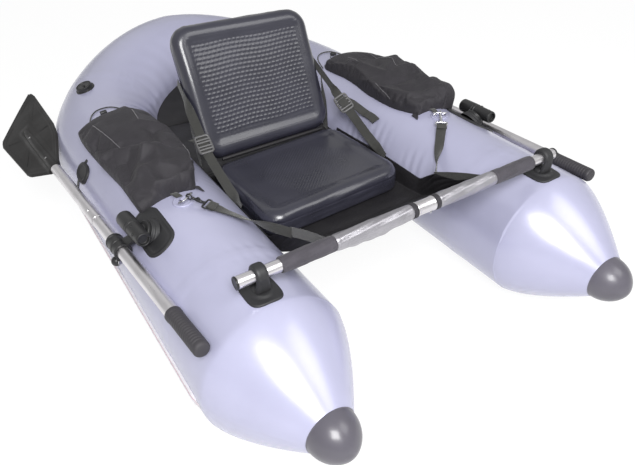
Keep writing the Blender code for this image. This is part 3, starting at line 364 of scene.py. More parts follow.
def surface(name, points, look, side=RIGHT, wrap=False, ring=False, poles=OPEN, crease=40):
    """Mesh on a grid of points, rows by columns, mirrored for the left side.

    wrap joins the last column to the first, ring the last row to the first. A pole closes an end
    row on a point, or on the row's own middle. The UV map holds metres along the columns (u) and
    the rows (v).
    """
    points = np.asarray(points, dtype=float) * (side, 1, 1)
    rows, cols = points.shape[:2]
    row, col = np.arange(rows - (not ring)), np.arange(cols - (not wrap))
    grid_row, grid_col = (a.ravel() for a in np.meshgrid(row, col, indexing="ij"))
    next_row, next_col = (grid_row + 1) % rows, (grid_col + 1) % cols
    corners = ((grid_row, grid_col), (grid_row, next_col), (next_row, next_col), (next_row, grid_col))
    faces = np.stack([a * cols + b for a, b in corners], -1).tolist()
    u_at = running_sum(np.linalg.norm(np.roll(points, -1, 1) - points, axis=-1).mean(0))
    v_at = running_sum(np.linalg.norm(np.roll(points, -1, 0) - points, axis=-1).mean(1))
    quad_u = u_at[np.stack([grid_col, grid_col + 1, grid_col + 1, grid_col], -1)]
    quad_v = v_at[np.stack([grid_row, grid_row, grid_row + 1, grid_row + 1], -1)]
    uvs = [np.stack([quad_u.ravel(), quad_v.ravel()], -1)]
    verts = [points.reshape(-1, 3)]
    for end, pole in enumerate(poles):
        if pole is None:
            continue
        first, second = (end * (rows - 1) * cols + step for step in (col, (col + 1) % cols))
        order = (first, second) if end else (second, first)
        faces += np.stack([*order, np.full(len(col), rows * cols + len(verts) - 1)], -1).tolist()
        tip = points[-end].mean(0) if isinstance(pole, str) else np.asarray(pole) * (side, 1, 1)
        verts.append(tip[None])
        tri = np.empty((len(col), 3, 2))
        tri[..., 0] = np.stack([u_at[col], u_at[col + 1], (u_at[col] + u_at[col + 1]) / 2], -1)
        tri[..., 1] = v_at[end * (rows - 1)]
        uvs.append(tri.reshape(-1, 2))
    mesh = bpy.data.meshes.new(name)
    mesh.from_pydata(np.concatenate(verts).tolist(), [], faces)
    layer = mesh.uv_layers.new(name="UVMap")
    layer.data.foreach_set("uv", np.concatenate(uvs).ravel())
    capped = [pole is not None for pole in poles]
    if (wrap or capped[0]) and (ring or any(capped)) and signed_volume(mesh) < 0:
        mesh.flip_normals()
    mesh.validate()
    mesh.shade_smooth()
    mesh.set_sharp_from_angle(angle=math.radians(crease))
    mesh.materials.append(LOOKS[look])
    piece = bpy.data.objects.new(name, mesh)
    pieces_collection().objects.link(piece)
    return piece


def closed_skin(name, points, look, side=RIGHT, crease=60):
    """Rings of points joined into a skin, each end closed on its own middle."""
    return surface(name, points, look, side, wrap=True, poles=CAPPED, crease=crease)


def signed_volume(mesh):
    """Sum of the tetrahedra between the origin and each triangle, positive when faces point out."""
    mesh.calc_loop_triangles()
    tris = np.empty(len(mesh.loop_triangles) * 3, dtype=int)
    mesh.loop_triangles.foreach_get("vertices", tris)
    a, b, c = (vertices(mesh)[tris.reshape(-1, 3)[:, i]] for i in range(3))
    return float(np.einsum("ij,ij->i", a, np.cross(b, c)).sum())


def vertices(mesh):
    flat = np.empty(len(mesh.vertices) * 3)
    mesh.vertices.foreach_get("co", flat)
    return flat.reshape(-1, 3)


def pieces_collection():
    group = bpy.data.collections.get(PIECES)
    if group is None:
        group = bpy.data.collections.new(PIECES)
        bpy.context.scene.collection.children.link(group)
    return group


def fixed(piece, slot, *nodes, body="hull"):
    """Ties a piece to its body and hides the frame nodes that it stands for. The slot is not used."""
    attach(piece, body)
    if nodes:
        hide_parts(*nodes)


def blended(piece, slot, body, start, end, *nodes):
    """Bakes a strap's placement into its mesh and hides the frame nodes that it stands for. The slot, body,
    start and end are not used.
    """
    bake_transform(piece)
    if nodes:
        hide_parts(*nodes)


def thicken(piece):
    wall = piece.modifiers.new("cloth thickness", "SOLIDIFY")
    wall.thickness = CLOTH_T
    wall.offset = 0
    wall.use_even_offset = False


def joined_pieces(pieces, name=None):
    """Merges meshes into the first one."""
    first = pieces[0]
    with bpy.context.temp_override(
        active_object=first, object=first, selected_objects=pieces, selected_editable_objects=pieces
    ):
        bpy.ops.object.join()
    first.name = name or first.name
    return first


def axes_along(run, hint=(0, 0, 1)):
    """Two unit directions square to a run and to each other, the first square to the hint too."""
    run = unit(run)
    side = np.cross(np.asarray(hint, dtype=float), run)
    if np.linalg.norm(side) < 1e-6:
        side = ACROSS
    side = unit(side)
    return side, np.cross(run, side)


def softened(profile, radius, steps=4, closed=False):
    """Polyline with its corners rounded: each is a quadratic curve that starts radius before it."""
    points = [np.array(p, dtype=float) for p in profile]
    count = len(points)
    result = []
    for index, corner in enumerate(points):
        if not closed and index in (0, count - 1):
            result.append(corner)
            continue
        before, after = points[index - 1] - corner, points[(index + 1) % count] - corner
        reach = min(radius, np.linalg.norm(before) * 0.45, np.linalg.norm(after) * 0.45)
        start, end = corner + unit(before) * reach, corner + unit(after) * reach
        for t in np.linspace(0, 1, steps + 1):
            result.append((1 - t) ** 2 * start + 2 * t * (1 - t) * corner + t * t * end)
    return np.array(result)


def lathe(name, profile, soft, origin, run, look, side=RIGHT, ring=False, count=72):
    """Profile of (radius, height) carried round an axis: origin + height * run + radius * turn.

    soft rounds the profile's corners (radius, steps). ring closes the profile on itself.
    """
    profile = softened(profile, *soft, ring) if soft else np.asarray(profile, dtype=float)
    wide, other = axes_along(run)
    turn = turns(count)
    circle = np.cos(turn)[:, None] * wide + np.sin(turn)[:, None] * other
    tips = [np.asarray(origin) + profile[end, 1] * unit(run) for end in (0, -1)]
    on_axis = [not ring and profile[end, 0] < 1e-9 for end in (0, -1)]
    body = profile[int(on_axis[0]):len(profile) - int(on_axis[1])]
    points = np.asarray(origin) + body[:, 1, None, None] * unit(run) + body[:, 0, None, None] * circle
    poles = [tip if wanted else None for tip, wanted in zip(tips, on_axis)]
    return surface(name, points, look, side, True, ring, poles, 50)


def smooth_path(points, count, closed=False):
    """Curve through points: Catmull-Rom pieces, sampled evenly in length."""
    knots = np.asarray(points, dtype=float)
    if closed:
        padded = np.vstack([knots[-1:], knots, knots[:2]])
    else:
        padded = np.vstack([2 * knots[:1] - knots[1:2], knots, 2 * knots[-1:] - knots[-2:-1]])
    t = np.linspace(0, 1, 24, endpoint=False)[:, None]
    fine = np.vstack([
        0.5 * (2 * b + (c - a) * t + (2 * a - 5 * b + 4 * c - d) * t**2 + (3 * b - a - 3 * c + d) * t**3)
        for a, b, c, d in zip(padded, padded[1:], padded[2:], padded[3:])
    ])
    fine = np.vstack([fine, fine[:1] if closed else knots[-1:]])
    reach = running_sum(np.linalg.norm(np.diff(fine, axis=0), axis=1))
    want = np.linspace(0, reach[-1], count, endpoint=not closed)
    return np.stack([np.interp(want, reach, fine[:, axis]) for axis in range(3)], -1)


def between(start, end, count):
    """Evenly spaced points of a straight line."""
    return start + (end - start) * np.linspace(0, 1, count)[:, None]


def path_frames(path, closed=False):
    """Tangent, side and upper direction at each point of a path, with the least twist."""
    ahead = np.roll(path, -1, 0) - np.roll(path, 1, 0)
    if not closed:
        ahead[0], ahead[-1] = path[1] - path[0], path[-1] - path[-2]
    run = unit(ahead)
    side = np.empty_like(run)
    side[0] = axes_along(run[0])[0]
    for index in range(1, len(run)):
        side[index] = unit(side[index - 1] - run[index] * np.dot(side[index - 1], run[index]))
    return run, side, np.cross(run, side)


def rope(name, path, radius, look, side=RIGHT, closed=False, count=16):
    """Round section carried along a path."""
    wide, upper = path_frames(path, closed)[1:]
    turn = turns(count)[None, :, None]
    points = path[:, None] + radius * (wide[:, None] * np.cos(turn) + upper[:, None] * np.sin(turn))
    return surface(name, points, look, side, True, closed, OPEN if closed else CAPPED, 60)


def webbing(name, path, across, width, thickness, side, look="black_webbing"):
    """Flat woven strap along a path: a thin section with rounded edges, carried along it."""
    across = np.broadcast_to(unit(across), path.shape)
    normal = unit(np.cross(path_frames(path)[0], across))
    span = np.linspace(-1, 1, 15)
    edge = thickness / 2 * (1 - np.abs(span) ** 10 * 0.75) + thickness * 0.05 * np.cos(span * 30)
    top = np.stack([span * width / 2, edge], -1)
    section = np.vstack([top, top[::-1] * (1, -1)])[None]
    points = path[:, None] + section[..., :1] * across[:, None] + section[..., 1:] * normal[:, None]
    return closed_skin(name, points, look, side)


def radial(degrees):
    """Direction out of the +X leg at an angle above level."""
    angle = np.radians(degrees)
    return np.stack([np.cos(angle), np.zeros_like(angle), np.sin(angle)], -1)


def on_leg(degrees, y, height):
    """Point at an angle and distance on the +X leg, a height above its skin."""
    degrees, y, height = np.broadcast_arrays(degrees, y, height)
    base = stacked(np.full(y.shape, LEG_X), BAR_Y + y, AXIS_Z)
    return base + radial(degrees) * (HULL_R + height)[..., None]


def off_hull(points, side, clearance):
    """Points beside a straight leg, moved out until they clear its skin."""
    away = (points - (LEG_X * side, 0, AXIS_Z)) * (1, 0, 1)
    short = np.maximum(HULL_R + clearance - np.linalg.norm(away, axis=-1, keepdims=True), 0)
    return points + unit(away) * short


def wall_x(z, clearance):
    """Inboard face of the +X leg at a height, kept off by a clearance."""
    rise = np.minimum(np.abs(z - AXIS_Z), HULL_R * 0.97)
    return LEG_X - np.sqrt(HULL_R**2 - rise**2) - clearance


def welded(name, rim, share, level, place, look, side, dish=None):
    """Patch on the +X leg: rim drawn in by shares, out under the patch and back over it.

    place is its angle and y. dish(across, along) adds a height in metres to its flat top.
    """
    a, b = (share[:, None] * part for part in rim)
    height = np.repeat(level[:, None], len(rim[0]), 1)
    if dish:
        height = height + dish(a, b) * (height >= level.max() * 0.99)
    points = on_leg(place[0] + np.degrees(a / HULL_R), place[1] + b, height)
    return closed_skin(name, points, look, side, 45)


def leg_patch(name, size, place, thickness, look, side, power=6.0, dish=None):
    """Welded patch whose rim is a superellipse of the given power."""
    turn = turns(96)
    reach = squircle(turn, power)
    rim = reach * np.cos(turn) * size[0] / 2, reach * np.sin(turn) * size[1] / 2
    inset = 1 - thickness * 0.7 / (min(size) / 2)
    bend = np.linspace(0.2, math.pi / 2, 5)
    share = np.concatenate([
        np.linspace(0.1, 1, 8), [1.0], 1 - (1 - inset) * (1 - np.cos(bend)), np.linspace(inset, 0.05, 16)[1:]
    ])
    level = np.concatenate([
        np.full(8, -0.0002), [thickness * 0.3], thickness * (0.3 + 0.7 * np.sin(bend)), np.full(15, thickness)
    ])
    return welded(name, rim, share, level, place, look, side, dish)


def stadium_patch(name, place, look, side, dish):
    """Welded patch with a stadium outline, 80 by 165 mm."""
    turn = turns(160)
    rim = (
        0.040 * np.sign(np.cos(turn)) * np.abs(np.cos(turn)) ** 0.95,
        0.040 * np.sin(turn) + 0.0425 * np.tanh(np.sin(turn) * 9),
    )
    bend = np.linspace(0.2, 1.57, 6)
    over = 1 - 0.045 * (1 - np.cos(bend))
    share = np.concatenate([np.linspace(0.1, 1, 8), over, np.linspace(0.94, 0.04, 30)])
    level = np.concatenate([np.full(8, -0.0002), 0.003 * (0.3 + 0.7 * np.sin(bend)), np.full(30, 0.003)])
    return welded(name, rim, share, level, place, look, side, dish)


# Materials


def feed(tree, target, inputs):
    """Links sockets into a node's inputs and sets the others to their values."""
    for label, value in inputs.items():
        if isinstance(value, bpy.types.NodeSocket):
            tree.links.new(value, target.inputs[label])
        else:
            target.inputs[label].default_value = value


def node(tree, kind, inputs=None, **settings):
    made = tree.nodes.new("ShaderNode" + kind)
    for key, value in settings.items():
        setattr(made, key, value)
    feed(tree, made, inputs or {})
    return made


def math_node(tree, operation, *values):
    return node(tree, "Math", dict(enumerate(values)), operation=operation).outputs[0]


def noise_node(tree, vector, scale, detail=3.0, rough=0.5):
    inputs = {"Vector": vector, "Scale": scale, "Detail": detail, "Roughness": rough}
    return node(tree, "TexNoise", inputs).outputs["Fac"]


def new_group(name, inputs, outputs):
    """Empty shader node group with named sockets: the first input is a vector."""
    group = bpy.data.node_groups.new(name, "ShaderNodeTree")
    for number, label in enumerate(inputs):
        kind = "NodeSocketFloat" if number else "NodeSocketVector"
        group.interface.new_socket(label, in_out="INPUT", socket_type=kind)
    for label in outputs:
        group.interface.new_socket(label, in_out="OUTPUT", socket_type="NodeSocketFloat")
    return group, group.nodes.new("NodeGroupInput").outputs, group.nodes.new("NodeGroupOutput")


def grain_group():
    """Moulded grain: fine pits and a slow drift of shade and gloss."""
    group, given, end = new_group("moulded grain", ("Vector", "Scale"), ("Height", "Drift", "Scuff"))
    vector, scale = given["Vector"], given["Scale"]
    fine = noise_node(group, vector, scale, 4.0, 0.6)
    drift = noise_node(group, vector, 9.0)
    cells = node(group, "TexVoronoi", {"Vector": vector, "Scale": scale}).outputs["Distance"]
    height = math_node(group, "ADD", fine, math_node(group, "MULTIPLY", cells, 0.5))
    scuff = math_node(group, "GREATER_THAN", noise_node(group, vector, 55.0, 6.0, 0.75), 0.66)
    feed(group, end, {"Height": height, "Drift": drift, "Scuff": scuff})
    return group


def weave_group():
    """Plain weave on a UV map in metres: warp and weft threads that pass over each other."""
    group, given, end = new_group("plain weave", ("UV", "Threads"), ("Height", "Shade"))
    split = node(group, "SeparateXYZ", {0: given["UV"]})
    waves = []
    for axis in ("X", "Y"):
        count = math_node(group, "MULTIPLY", split.outputs[axis], given["Threads"])
        waves.append(math_node(group, "SINE", math_node(group, "MULTIPLY", count, math.pi)))
    product = math_node(group, "MULTIPLY", *waves)
    height = math_node(group, "ABSOLUTE", product)
    over = math_node(group, "MULTIPLY_ADD", product, 0.5, 0.5)
    blotch = noise_node(group, given["UV"], 30.0, 4.0)
    shades = [math_node(group, "MULTIPLY", part, share) for part, share in ((over, 0.5), (blotch, 0.6))]
    feed(group, end, {"Height": height, "Shade": math_node(group, "ADD", *shades)})
    return group


def new_look(name):
    """Material with its tree, its Principled shader and its coordinates."""
    look = bpy.data.materials.new(name)
    look.use_nodes = True
    tree = look.node_tree
    return look, tree, tree.nodes["Principled BSDF"], node(tree, "TexCoord").outputs


def shared(tree, builder, inputs):
    """A group node, its group made on first use."""
    made = node(tree, "Group")
    made.node_tree = GROUPS.get(builder) or GROUPS.setdefault(builder, builder())
    feed(tree, made, inputs)
    return made.outputs


def shade_between(tree, factor, dark, light):
    """Colour ramp from dark to light over the middle of a mask."""
    made = node(tree, "ValToRGB", {"Fac": factor})
    ramp = made.color_ramp
    ramp.interpolation = "EASE"
    for element, position, colour in zip(ramp.elements, (0.3, 0.7), (dark, light)):
        element.position, element.color = position, (*colour, 1)
    return made.outputs["Color"]


def bump(tree, height, strength, distance, shader, before=None):
    inputs = {"Strength": strength, "Distance": distance, "Height": height}
    if before is not None:
        inputs["Normal"] = before
    normal = node(tree, "Bump", inputs).outputs["Normal"]
    feed(tree, shader, {"Normal": normal})
    return normal


def gloss_between(tree, factor, low, high, shader):
    """Roughness that drifts between two values."""
    inputs = {"Value": factor, "From Min": 0.3, "From Max": 0.7, "To Min": low, "To Max": min(high, 1)}
    made = node(tree, "MapRange", inputs, interpolation_type="SMOOTHSTEP")
    feed(tree, shader, {"Roughness": made.outputs["Result"]})


def darker(colour, share):
    return tuple(value * share for value in colour)


def moulded_look(name, colour, rough, scale, depth, metallic=0.0, coat=0.0, specular=0.5):
    """Plastic, rubber, vinyl or metal with a grain in object coordinates."""
    look, tree, shader, coords = new_look(name)
    grain = shared(tree, grain_group, {"Vector": coords["Object"], "Scale": scale})
    feed(tree, shader, {
        "Base Color": shade_between(tree, grain["Drift"], darker(colour, 0.8), colour),
        "Metallic": metallic, "Coat Weight": coat, "Coat Roughness": 0.16, "Specular IOR Level": specular,
    })
    gloss_between(tree, grain["Drift"], rough * 0.88, rough * 1.15, shader)
    bump(tree, grain["Height"], 0.5, depth, shader)
    return look


def woven_look(name, colour, rough, threads, depth, sheen=0.2, coat=0.0, metallic=0.0, light=1.35):
    """Cloth or webbing: a plain weave on the piece's UV map."""
    look, tree, shader, coords = new_look(name)
    weave = shared(tree, weave_group, {"UV": coords["UV"], "Threads": threads})
    feed(tree, shader, {
        "Base Color": shade_between(tree, weave["Shade"], darker(colour, 0.75), darker(colour, light)),
        "Sheen Weight": sheen, "Sheen Roughness": 0.5, "Coat Weight": coat, "Metallic": metallic,
    })
    gloss_between(tree, noise_node(tree, coords["Object"], 14.0), rough * 0.9, rough * 1.1, shader)
    bump(tree, weave["Height"], 0.6, depth, shader)
    return look


def metal_look(name, colour, rough, axis, depth=0.00003):
    """Drawn metal: streaks along one object axis."""
    look, tree, shader, coords = new_look(name)
    scale = [9.0 if number == axis else 420.0 for number in range(3)]
    mapping = node(tree, "Mapping", {"Vector": coords["Object"], "Scale": scale})
    streak = noise_node(tree, mapping.outputs["Vector"], 1.0)
    slow = noise_node(tree, coords["Object"], 16.0, 4.0)
    shade = shade_between(tree, slow, darker(colour, 0.9), colour)
    feed(tree, shader, {"Base Color": shade, "Metallic": 1.0})
    gloss_between(tree, streak, rough * 0.75, rough * 1.25, shader)
    bump(tree, streak, 0.35, depth, shader)
    return look


def hull_look(name, colour):
    """Silver coated fabric: the scrim shows faintly through a glossy skin."""
    look, tree, shader, coords = new_look(name)
    weave = shared(tree, weave_group, {"UV": coords["UV"], "Threads": 900.0})
    slow = noise_node(tree, coords["Object"], 5.0, 4.0)
    feed(tree, shader, {
        "Base Color": shade_between(tree, slow, darker(colour, 0.93), colour),
        "Roughness": 0.27, "Metallic": 0.12, "Coat Weight": 0.35, "Coat Roughness": 0.22,
    })
    first = bump(tree, noise_node(tree, coords["Object"], 38.0, 4.0, 0.55), 0.25, 0.0007, shader)
    bump(tree, weave["Height"], 0.2, 0.00006, shader, first)
    return look


def strake_look(name, white, line):
    """White rubber strip with two thin coloured lines: bands of the UV map's u."""
    look, tree, shader, coords = new_look(name)
    u = node(tree, "SeparateXYZ", {0: coords["UV"]}).outputs["X"]
    bands = []
    for place in (0.0115, 0.0265):
        away = math_node(tree, "ABSOLUTE", math_node(tree, "SUBTRACT", u, place))
        bands.append(math_node(tree, "LESS_THAN", away, 0.0011))
    mask = math_node(tree, "MAXIMUM", *bands)
    mix = node(tree, "Mix", data_type="RGBA")
    feed(tree, mix, {"Factor": mask, "A": (*white, 1), "B": (*line, 1)})
    feed(tree, shader, {"Base Color": mix.outputs["Result"]})
    grain = noise_node(tree, coords["Object"], 300.0)
    gloss_between(tree, grain, 0.35, 0.5, shader)
    bump(tree, grain, 0.3, 0.0001, shader)
    return look


LOOKS = {}
GROUPS = {}


def make_looks(finishes):
    """All materials, keyed by the record's material slots and a few extra finishes."""
    black, metal, sleeve = (tuple(c) for c in (finishes.cloth, finishes.metal, finishes.sleeve))
    LOOKS["silver_pvc"] = hull_look("silver coated fabric", tuple(finishes.hull))
    LOOKS["white_pvc"] = strake_look("white strake", tuple(finishes.strake), tuple(finishes.line))
    LOOKS["bar_metal"] = metal_look("drawn aluminium bar", metal, 0.34, 0)
    LOOKS["anodised_aluminium"] = metal_look("drawn aluminium shaft", metal, 0.36, 1)
    moulded = {
        "black_pvc": ("black nose rubber", tuple(finishes.nose), 0.36, 900, 0.0001, 0.0, 0.25),
        "plated_steel": ("plated steel", (0.66, 0.66, 0.67), 0.18, 700, 0.00002, 1.0),
        "black_plastic": ("black plastic", (0.018, 0.018, 0.019), 0.4, 1500, 0.00008),
        "buckle": ("buckle plastic", (0.120, 0.118, 0.120), 0.38, 1300, 0.00008),
        "black_rubber": ("black rubber", (0.022, 0.022, 0.024), 0.55, 1100, 0.00012),
        "black_vinyl": ("black vinyl", tuple(finishes.vinyl), 0.30, 1300, 0.00010, 0.0, 0.5),
        "blade": ("blade plastic", tuple(finishes.blade), 0.46, 900, 0.00012, 0.0, 0.0, 0.3),
        "grip": ("grip rubber", tuple(finishes.grip), 0.6, 1200, 0.0002),
    }
    woven = {
        "black_fabric": ("black pack cloth", black, 0.70, 1300, 0.00018, 0.02),
        "bar_cloth": ("bar sleeve cloth", darker(black, 2.2), 0.7, 1300, 0.00018, 0.1),
        "coated_black": ("coated black cloth", darker(black, 0.4), 0.62, 1100, 0.0001, 0.0, 0.05),
        "silver_fabric": ("silver sleeve cloth", sleeve, 0.40, 1500, 0.0001, 0.0, 0.1, 0.85, 1.1),
        "black_webbing": ("olive black webbing", tuple(finishes.webbing), 0.75, 620, 0.0004, 0.3),
        "bag_piping": ("bag piping", (0.13, 0.125, 0.135), 0.7, 900, 0.0002, 0.2),
    }
    for build, rows in ((moulded_look, moulded), (woven_look, woven)):
        for key, row in rows.items():
            LOOKS[key] = build(*row)


# Hull


def stern_curve(share):
    """Hull axis round the stern: a superellipse in plan that rises with a power of its depth."""
    angle = math.pi * np.asarray(share, dtype=float)
    power = 2 / STERN_ROUND
    cosine = np.cos(angle)
    run = np.maximum(np.sin(angle), 0) ** power
    x = LEG_X * np.sign(cosine) * np.abs(cosine) ** power
    return stacked(x, BAR_Y + LEG_END + STERN_DEPTH * run, AXIS_Z + STERN_RISE * run**STERN_RISE_SHARE)


def hull_path():
    """Axis points and radii from one nose round the stern to the other."""
    share = np.linspace(1, 0, 46)
    cone_y = BAR_Y + CONE_START + (CONE_END - CONE_START) * share
    cone = stacked(LEG_X - CONE_TOE * share, cone_y, AXIS_Z)
    cone_r = CONE_END_R + (HULL_R - CONE_END_R) * (1 - share**CONE_BULGE)
    depth = np.linspace(NOSE_LENGTH, 0, 6)[:-1]
    nose = cone[0] + depth[:, None] * unit(cone[0] - cone[-1])
    nose_r = NOSE_R + (CONE_END_R - NOSE_R) * (1 - depth / NOSE_LENGTH)
    leg = stacked(LEG_X, BAR_Y + np.linspace(CONE_START, LEG_END, 150)[1:], AXIS_Z)
    stern = smooth_path(stern_curve(np.linspace(0, 0.5, 13)), 90)[1:]
    half = np.vstack([nose, cone, leg, stern])
    half_r = np.concatenate([nose_r, cone_r, np.full(len(leg) + len(stern), HULL_R)])
    return np.vstack([half, half[-2::-1] * (-1, 1, 1)]), np.concatenate([half_r, half_r[-2::-1]])


def hull_relief(reach, turn, y, radius):
    """Small height over the ideal skin: welded seam bands, their puckers, and slow unevenness."""
    relief = 0.0006 * ripple(reach, turn * 0.5, 11, 9, 3.0, 16.0)
    for number, share in enumerate(SEAMS):
        away = np.abs(reach - reach.max() * share)
        relief = relief + 0.0007 * smoothstep((0.016 - away) / 0.003)
        pucker = np.sin(turn * 31 + 3 * np.sin(turn * 5 + number)) * hill(away, 0.02, 0.016)
        relief = relief + 0.0005 * pucker
    under = np.cos(turn - math.radians(248))
    relief = relief + 0.0006 * smoothstep((under - 0.985) / 0.006)
    bend = smoothstep((y - (BAR_Y + LEG_END - 0.12)) / 0.2)
    inner = smoothstep((np.cos(turn - math.pi) - 0.15) / 0.6)
    relief = relief + np.sin(reach * 95 + 2.2 * np.sin(turn * 3)) * 0.0006 * bend * inner
    for at, degrees, deep in DENTS:
        near = hill(y - BAR_Y, at, 0.045) * hill(turn, math.radians(degrees), 0.28)
        relief = relief - deep * near * (0.6 + 0.9 * np.sin((y - BAR_Y) * 210 + turn * 9))
    return relief * smoothstep((radius - CONE_END_R) / 0.03)


def make_hull():
    """Skin: axis + (radius + relief) * (cos * outboard + sin * upper), flattened on the ground."""
    path, radius = hull_path()
    run = unit(np.gradient(path, axis=0))
    side = unit(np.cross(run, UP))
    upper = np.cross(side, run)
    turn = turns(168)[None]
    reach = running_sum(np.linalg.norm(np.diff(path, axis=0), axis=1))[:, None]
    size = (radius[:, None] + hull_relief(reach, turn, path[:, 1:2], radius[:, None]))[..., None]
    turn = turn[..., None]
    points = path[:, None] + size * (np.cos(turn) * side[:, None] + np.sin(turn) * upper[:, None])
    points[..., 2] = np.maximum(points[..., 2], 0.0004)
    skin = closed_skin("hull_skin", points, "silver_pvc")
    fixed(skin, "silver_pvc", "hull_tube")


def make_nose_caps():
    """Moulded rubber cups: a superellipse of revolution with a thick rolled lip."""
    base = from_bar(LEG_X - CONE_TOE, CONE_END, AXIS_Z)
    ahead = unit((-CONE_TOE, CONE_END - CONE_START, 0.0))
    edge = CONE_END_R + 0.0006
    t = np.linspace(0, math.pi / 2, 40)
    outer = np.stack([edge * np.sin(t) ** 1.16, CAP_LENGTH * 0.96 * np.cos(t)], -1)
    outer[0, 0] = 0
    lip = [(edge + 0.0012, -0.0008), (edge + 0.0010, -0.0022), (edge + 0.0002, -0.003)]
    inner = [(CONE_END_R - 0.0010, 0.002), (NOSE_R + 0.004, NOSE_LENGTH + 0.002), (0, NOSE_LENGTH + 0.004)]
    profile = np.vstack([outer, lip, inner])
    for side, word in SIDES:
        cap = lathe("nose_cup_" + word, profile, None, base, ahead, "black_pvc", side, count=96)
        fixed(cap, "black_pvc", "nose_cap_" + word)


def make_strakes():
    """White strip with a ridge, wrapped on the outer flank: section carried along the leg."""
    span = np.linspace(-1, 1, 25)
    rise = 0.0052 * (1 - np.abs(span) ** 6 * 0.85) + 0.001 * hill(span, 0, 0.25)
    wide = span * math.degrees(STRAKE_HALF / HULL_R)
    off = np.concatenate([wide, wide[::-1]])[None]
    height = np.concatenate([rise, np.full(25, -0.0002)])[None]
    y = np.linspace(*STRAKE_Y, 120)[:, None]
    from_end = np.minimum(y - STRAKE_Y[0], STRAKE_Y[1] - y)
    taper = smoothstep(from_end / 0.03) * 0.92 + 0.08
    points = on_leg(STRAKE_ANGLE + off * (0.4 + 0.6 * taper), y, height * taper)
    for side, word in SIDES:
        strip = closed_skin("strake_strip_" + word, points, "white_pvc", side)
        fixed(strip, "white_pvc", "rub_strake_" + word)


# Crossbar


def bar_at(x):
    return from_bar(x, 0, BAR_Z)


def tube_wall(outer, start, end):
    """Closed section of a thin tube."""
    inner = outer - TUBE_WALL
    return [(outer, start), (outer, end), (inner, end), (inner, start)]


def make_crossbar():
    """Two drawn tubes, the swaged ferrule with rolled rims, and end plugs."""
    spans = (
        ("crossbar_left", BAR_LEFT, FERRULE_X - 0.0005), ("crossbar_right", FERRULE_X + 0.0005, BAR_RIGHT)
    )
    for node_name, start, end in spans:
        wall = tube_wall(BAR_R, 0, end - start)
        at = bar_at(start)
        tube = lathe(node_name + "_tube", wall, (0.0006, 3), at, ACROSS, "bar_metal", ring=True)
        fixed(tube, "anodised_aluminium", node_name)
    waist = FERRULE_R - 0.0008
    low = BAR_R + BAR_GAP
    length = 2 * FERRULE_HALF
    profile = [
        (FERRULE_R, 0), (FERRULE_R, 0.004), (waist, 0.0055), (waist, length - 0.0055),
        (FERRULE_R, length - 0.004), (FERRULE_R, length), (low, length), (low, 0),
    ]
    start = bar_at(FERRULE_X - FERRULE_HALF)
    ferrule = lathe("joint_ferrule", profile, (0.001, 4), start, ACROSS, "bar_metal", ring=True)
    fixed(ferrule, "anodised_aluminium", "crossbar_ferrule")
    plug = [
        (0, 0.0038), (0.0095, 0.0038), (0.0105, 0.0046), (0.0134, 0.0042),
        (0.0136, 0.0004), (0.011, 0.0003), (0.0108, -0.0138), (0, -0.0138),
    ]
    for word, x, run in (("left", BAR_LEFT, -ACROSS), ("right", BAR_RIGHT, ACROSS)):
        piece = lathe("end_plug_" + word, plug, (0.0008, 4), bar_at(x), run, "black_plastic")
        fixed(piece, "black_plastic", "bar_plug_" + word)


def cloth_tube(name, x_start, x_end, look, seed, hem=0.0):
    """Cloth sleeve round the bar.

    Outside: a circle that swells with lengthwise and diagonal wrinkles, with an optional hanging
    hem below. Inside: a plain circle just off the bar. The ends turn in.
    """
    turn = turns(96)[None]
    x = np.linspace(x_start, x_end, 90)[:, None]
    share = (x - x_start) / (x_end - x_start)
    from_end = np.minimum(share, 1 - share)
    wrinkle = 0.0006 * ripple(share * 6, turn, seed, 9, 1.0, 7.0) + 0.00035 * np.sin(turn * 9 + share * 14)
    end = smoothstep(from_end / 0.03)
    swell = SLEEVE_R + (wrinkle - 0.0005 * hill(from_end, 0.05, 0.008)) * end
    radius = np.maximum(swell * (0.93 + 0.07 * end), BAR_R + 0.0006)
    below = hill(turn, 1.5 * math.pi, 0.75)
    scallop = 0.25 + 0.95 * np.sin(share * math.pi)
    scallop = scallop + 0.10 * np.sin(share * 31) + 0.08 * np.sin(share * 13 + 1)
    squeeze = 1 - 0.30 * below * (hem > 0)
    y = radius * np.cos(turn) * squeeze + hem * 0.12 * below * np.sin(share * 17 + 0.6)
    z = radius * np.sin(turn) - hem * below * scallop
    inner = BAR_R + BAR_GAP
    outside = stacked(x, BAR_Y + y, BAR_Z + z)
    inside = stacked(x, BAR_Y + inner * np.cos(turn), BAR_Z + inner * np.sin(turn))[::-1]
    points = np.concatenate([outside, inside])
    return surface(name, points, look, wrap=True, ring=True, crease=60)


def make_sleeves():
    """Dark sleeves beside the mounts, silver apron sleeves inboard, and a hem band by the ferrule."""
    hem = [(0.0136, -0.0055), (0.0172, -0.0055), (0.0172, 0.0055), (0.0136, 0.0055)]
    for side, word in SIDES:
        ends = sorted(side * x for x in DARK_SLEEVE)
        dark = cloth_tube("dark_sleeve_" + word, *ends, "bar_cloth", 21 + side)
        fixed(dark, "black_fabric", "bar_sleeve_" + word)
        silver = cloth_tube(
            "silver_sleeve_" + word, *APRONS[side], "silver_fabric", 31 + side, APRON_HEM[side]
        )
        fixed(silver, "silver_fabric", "apron_sleeve_" + word)
        at = bar_at(FERRULE_X + side * (FERRULE_HALF + 0.0062))
        band = lathe("sleeve_hem_" + word, hem, (0.001, 4), at, ACROSS, "black_fabric", ring=True)
        fixed(band, "black_fabric")


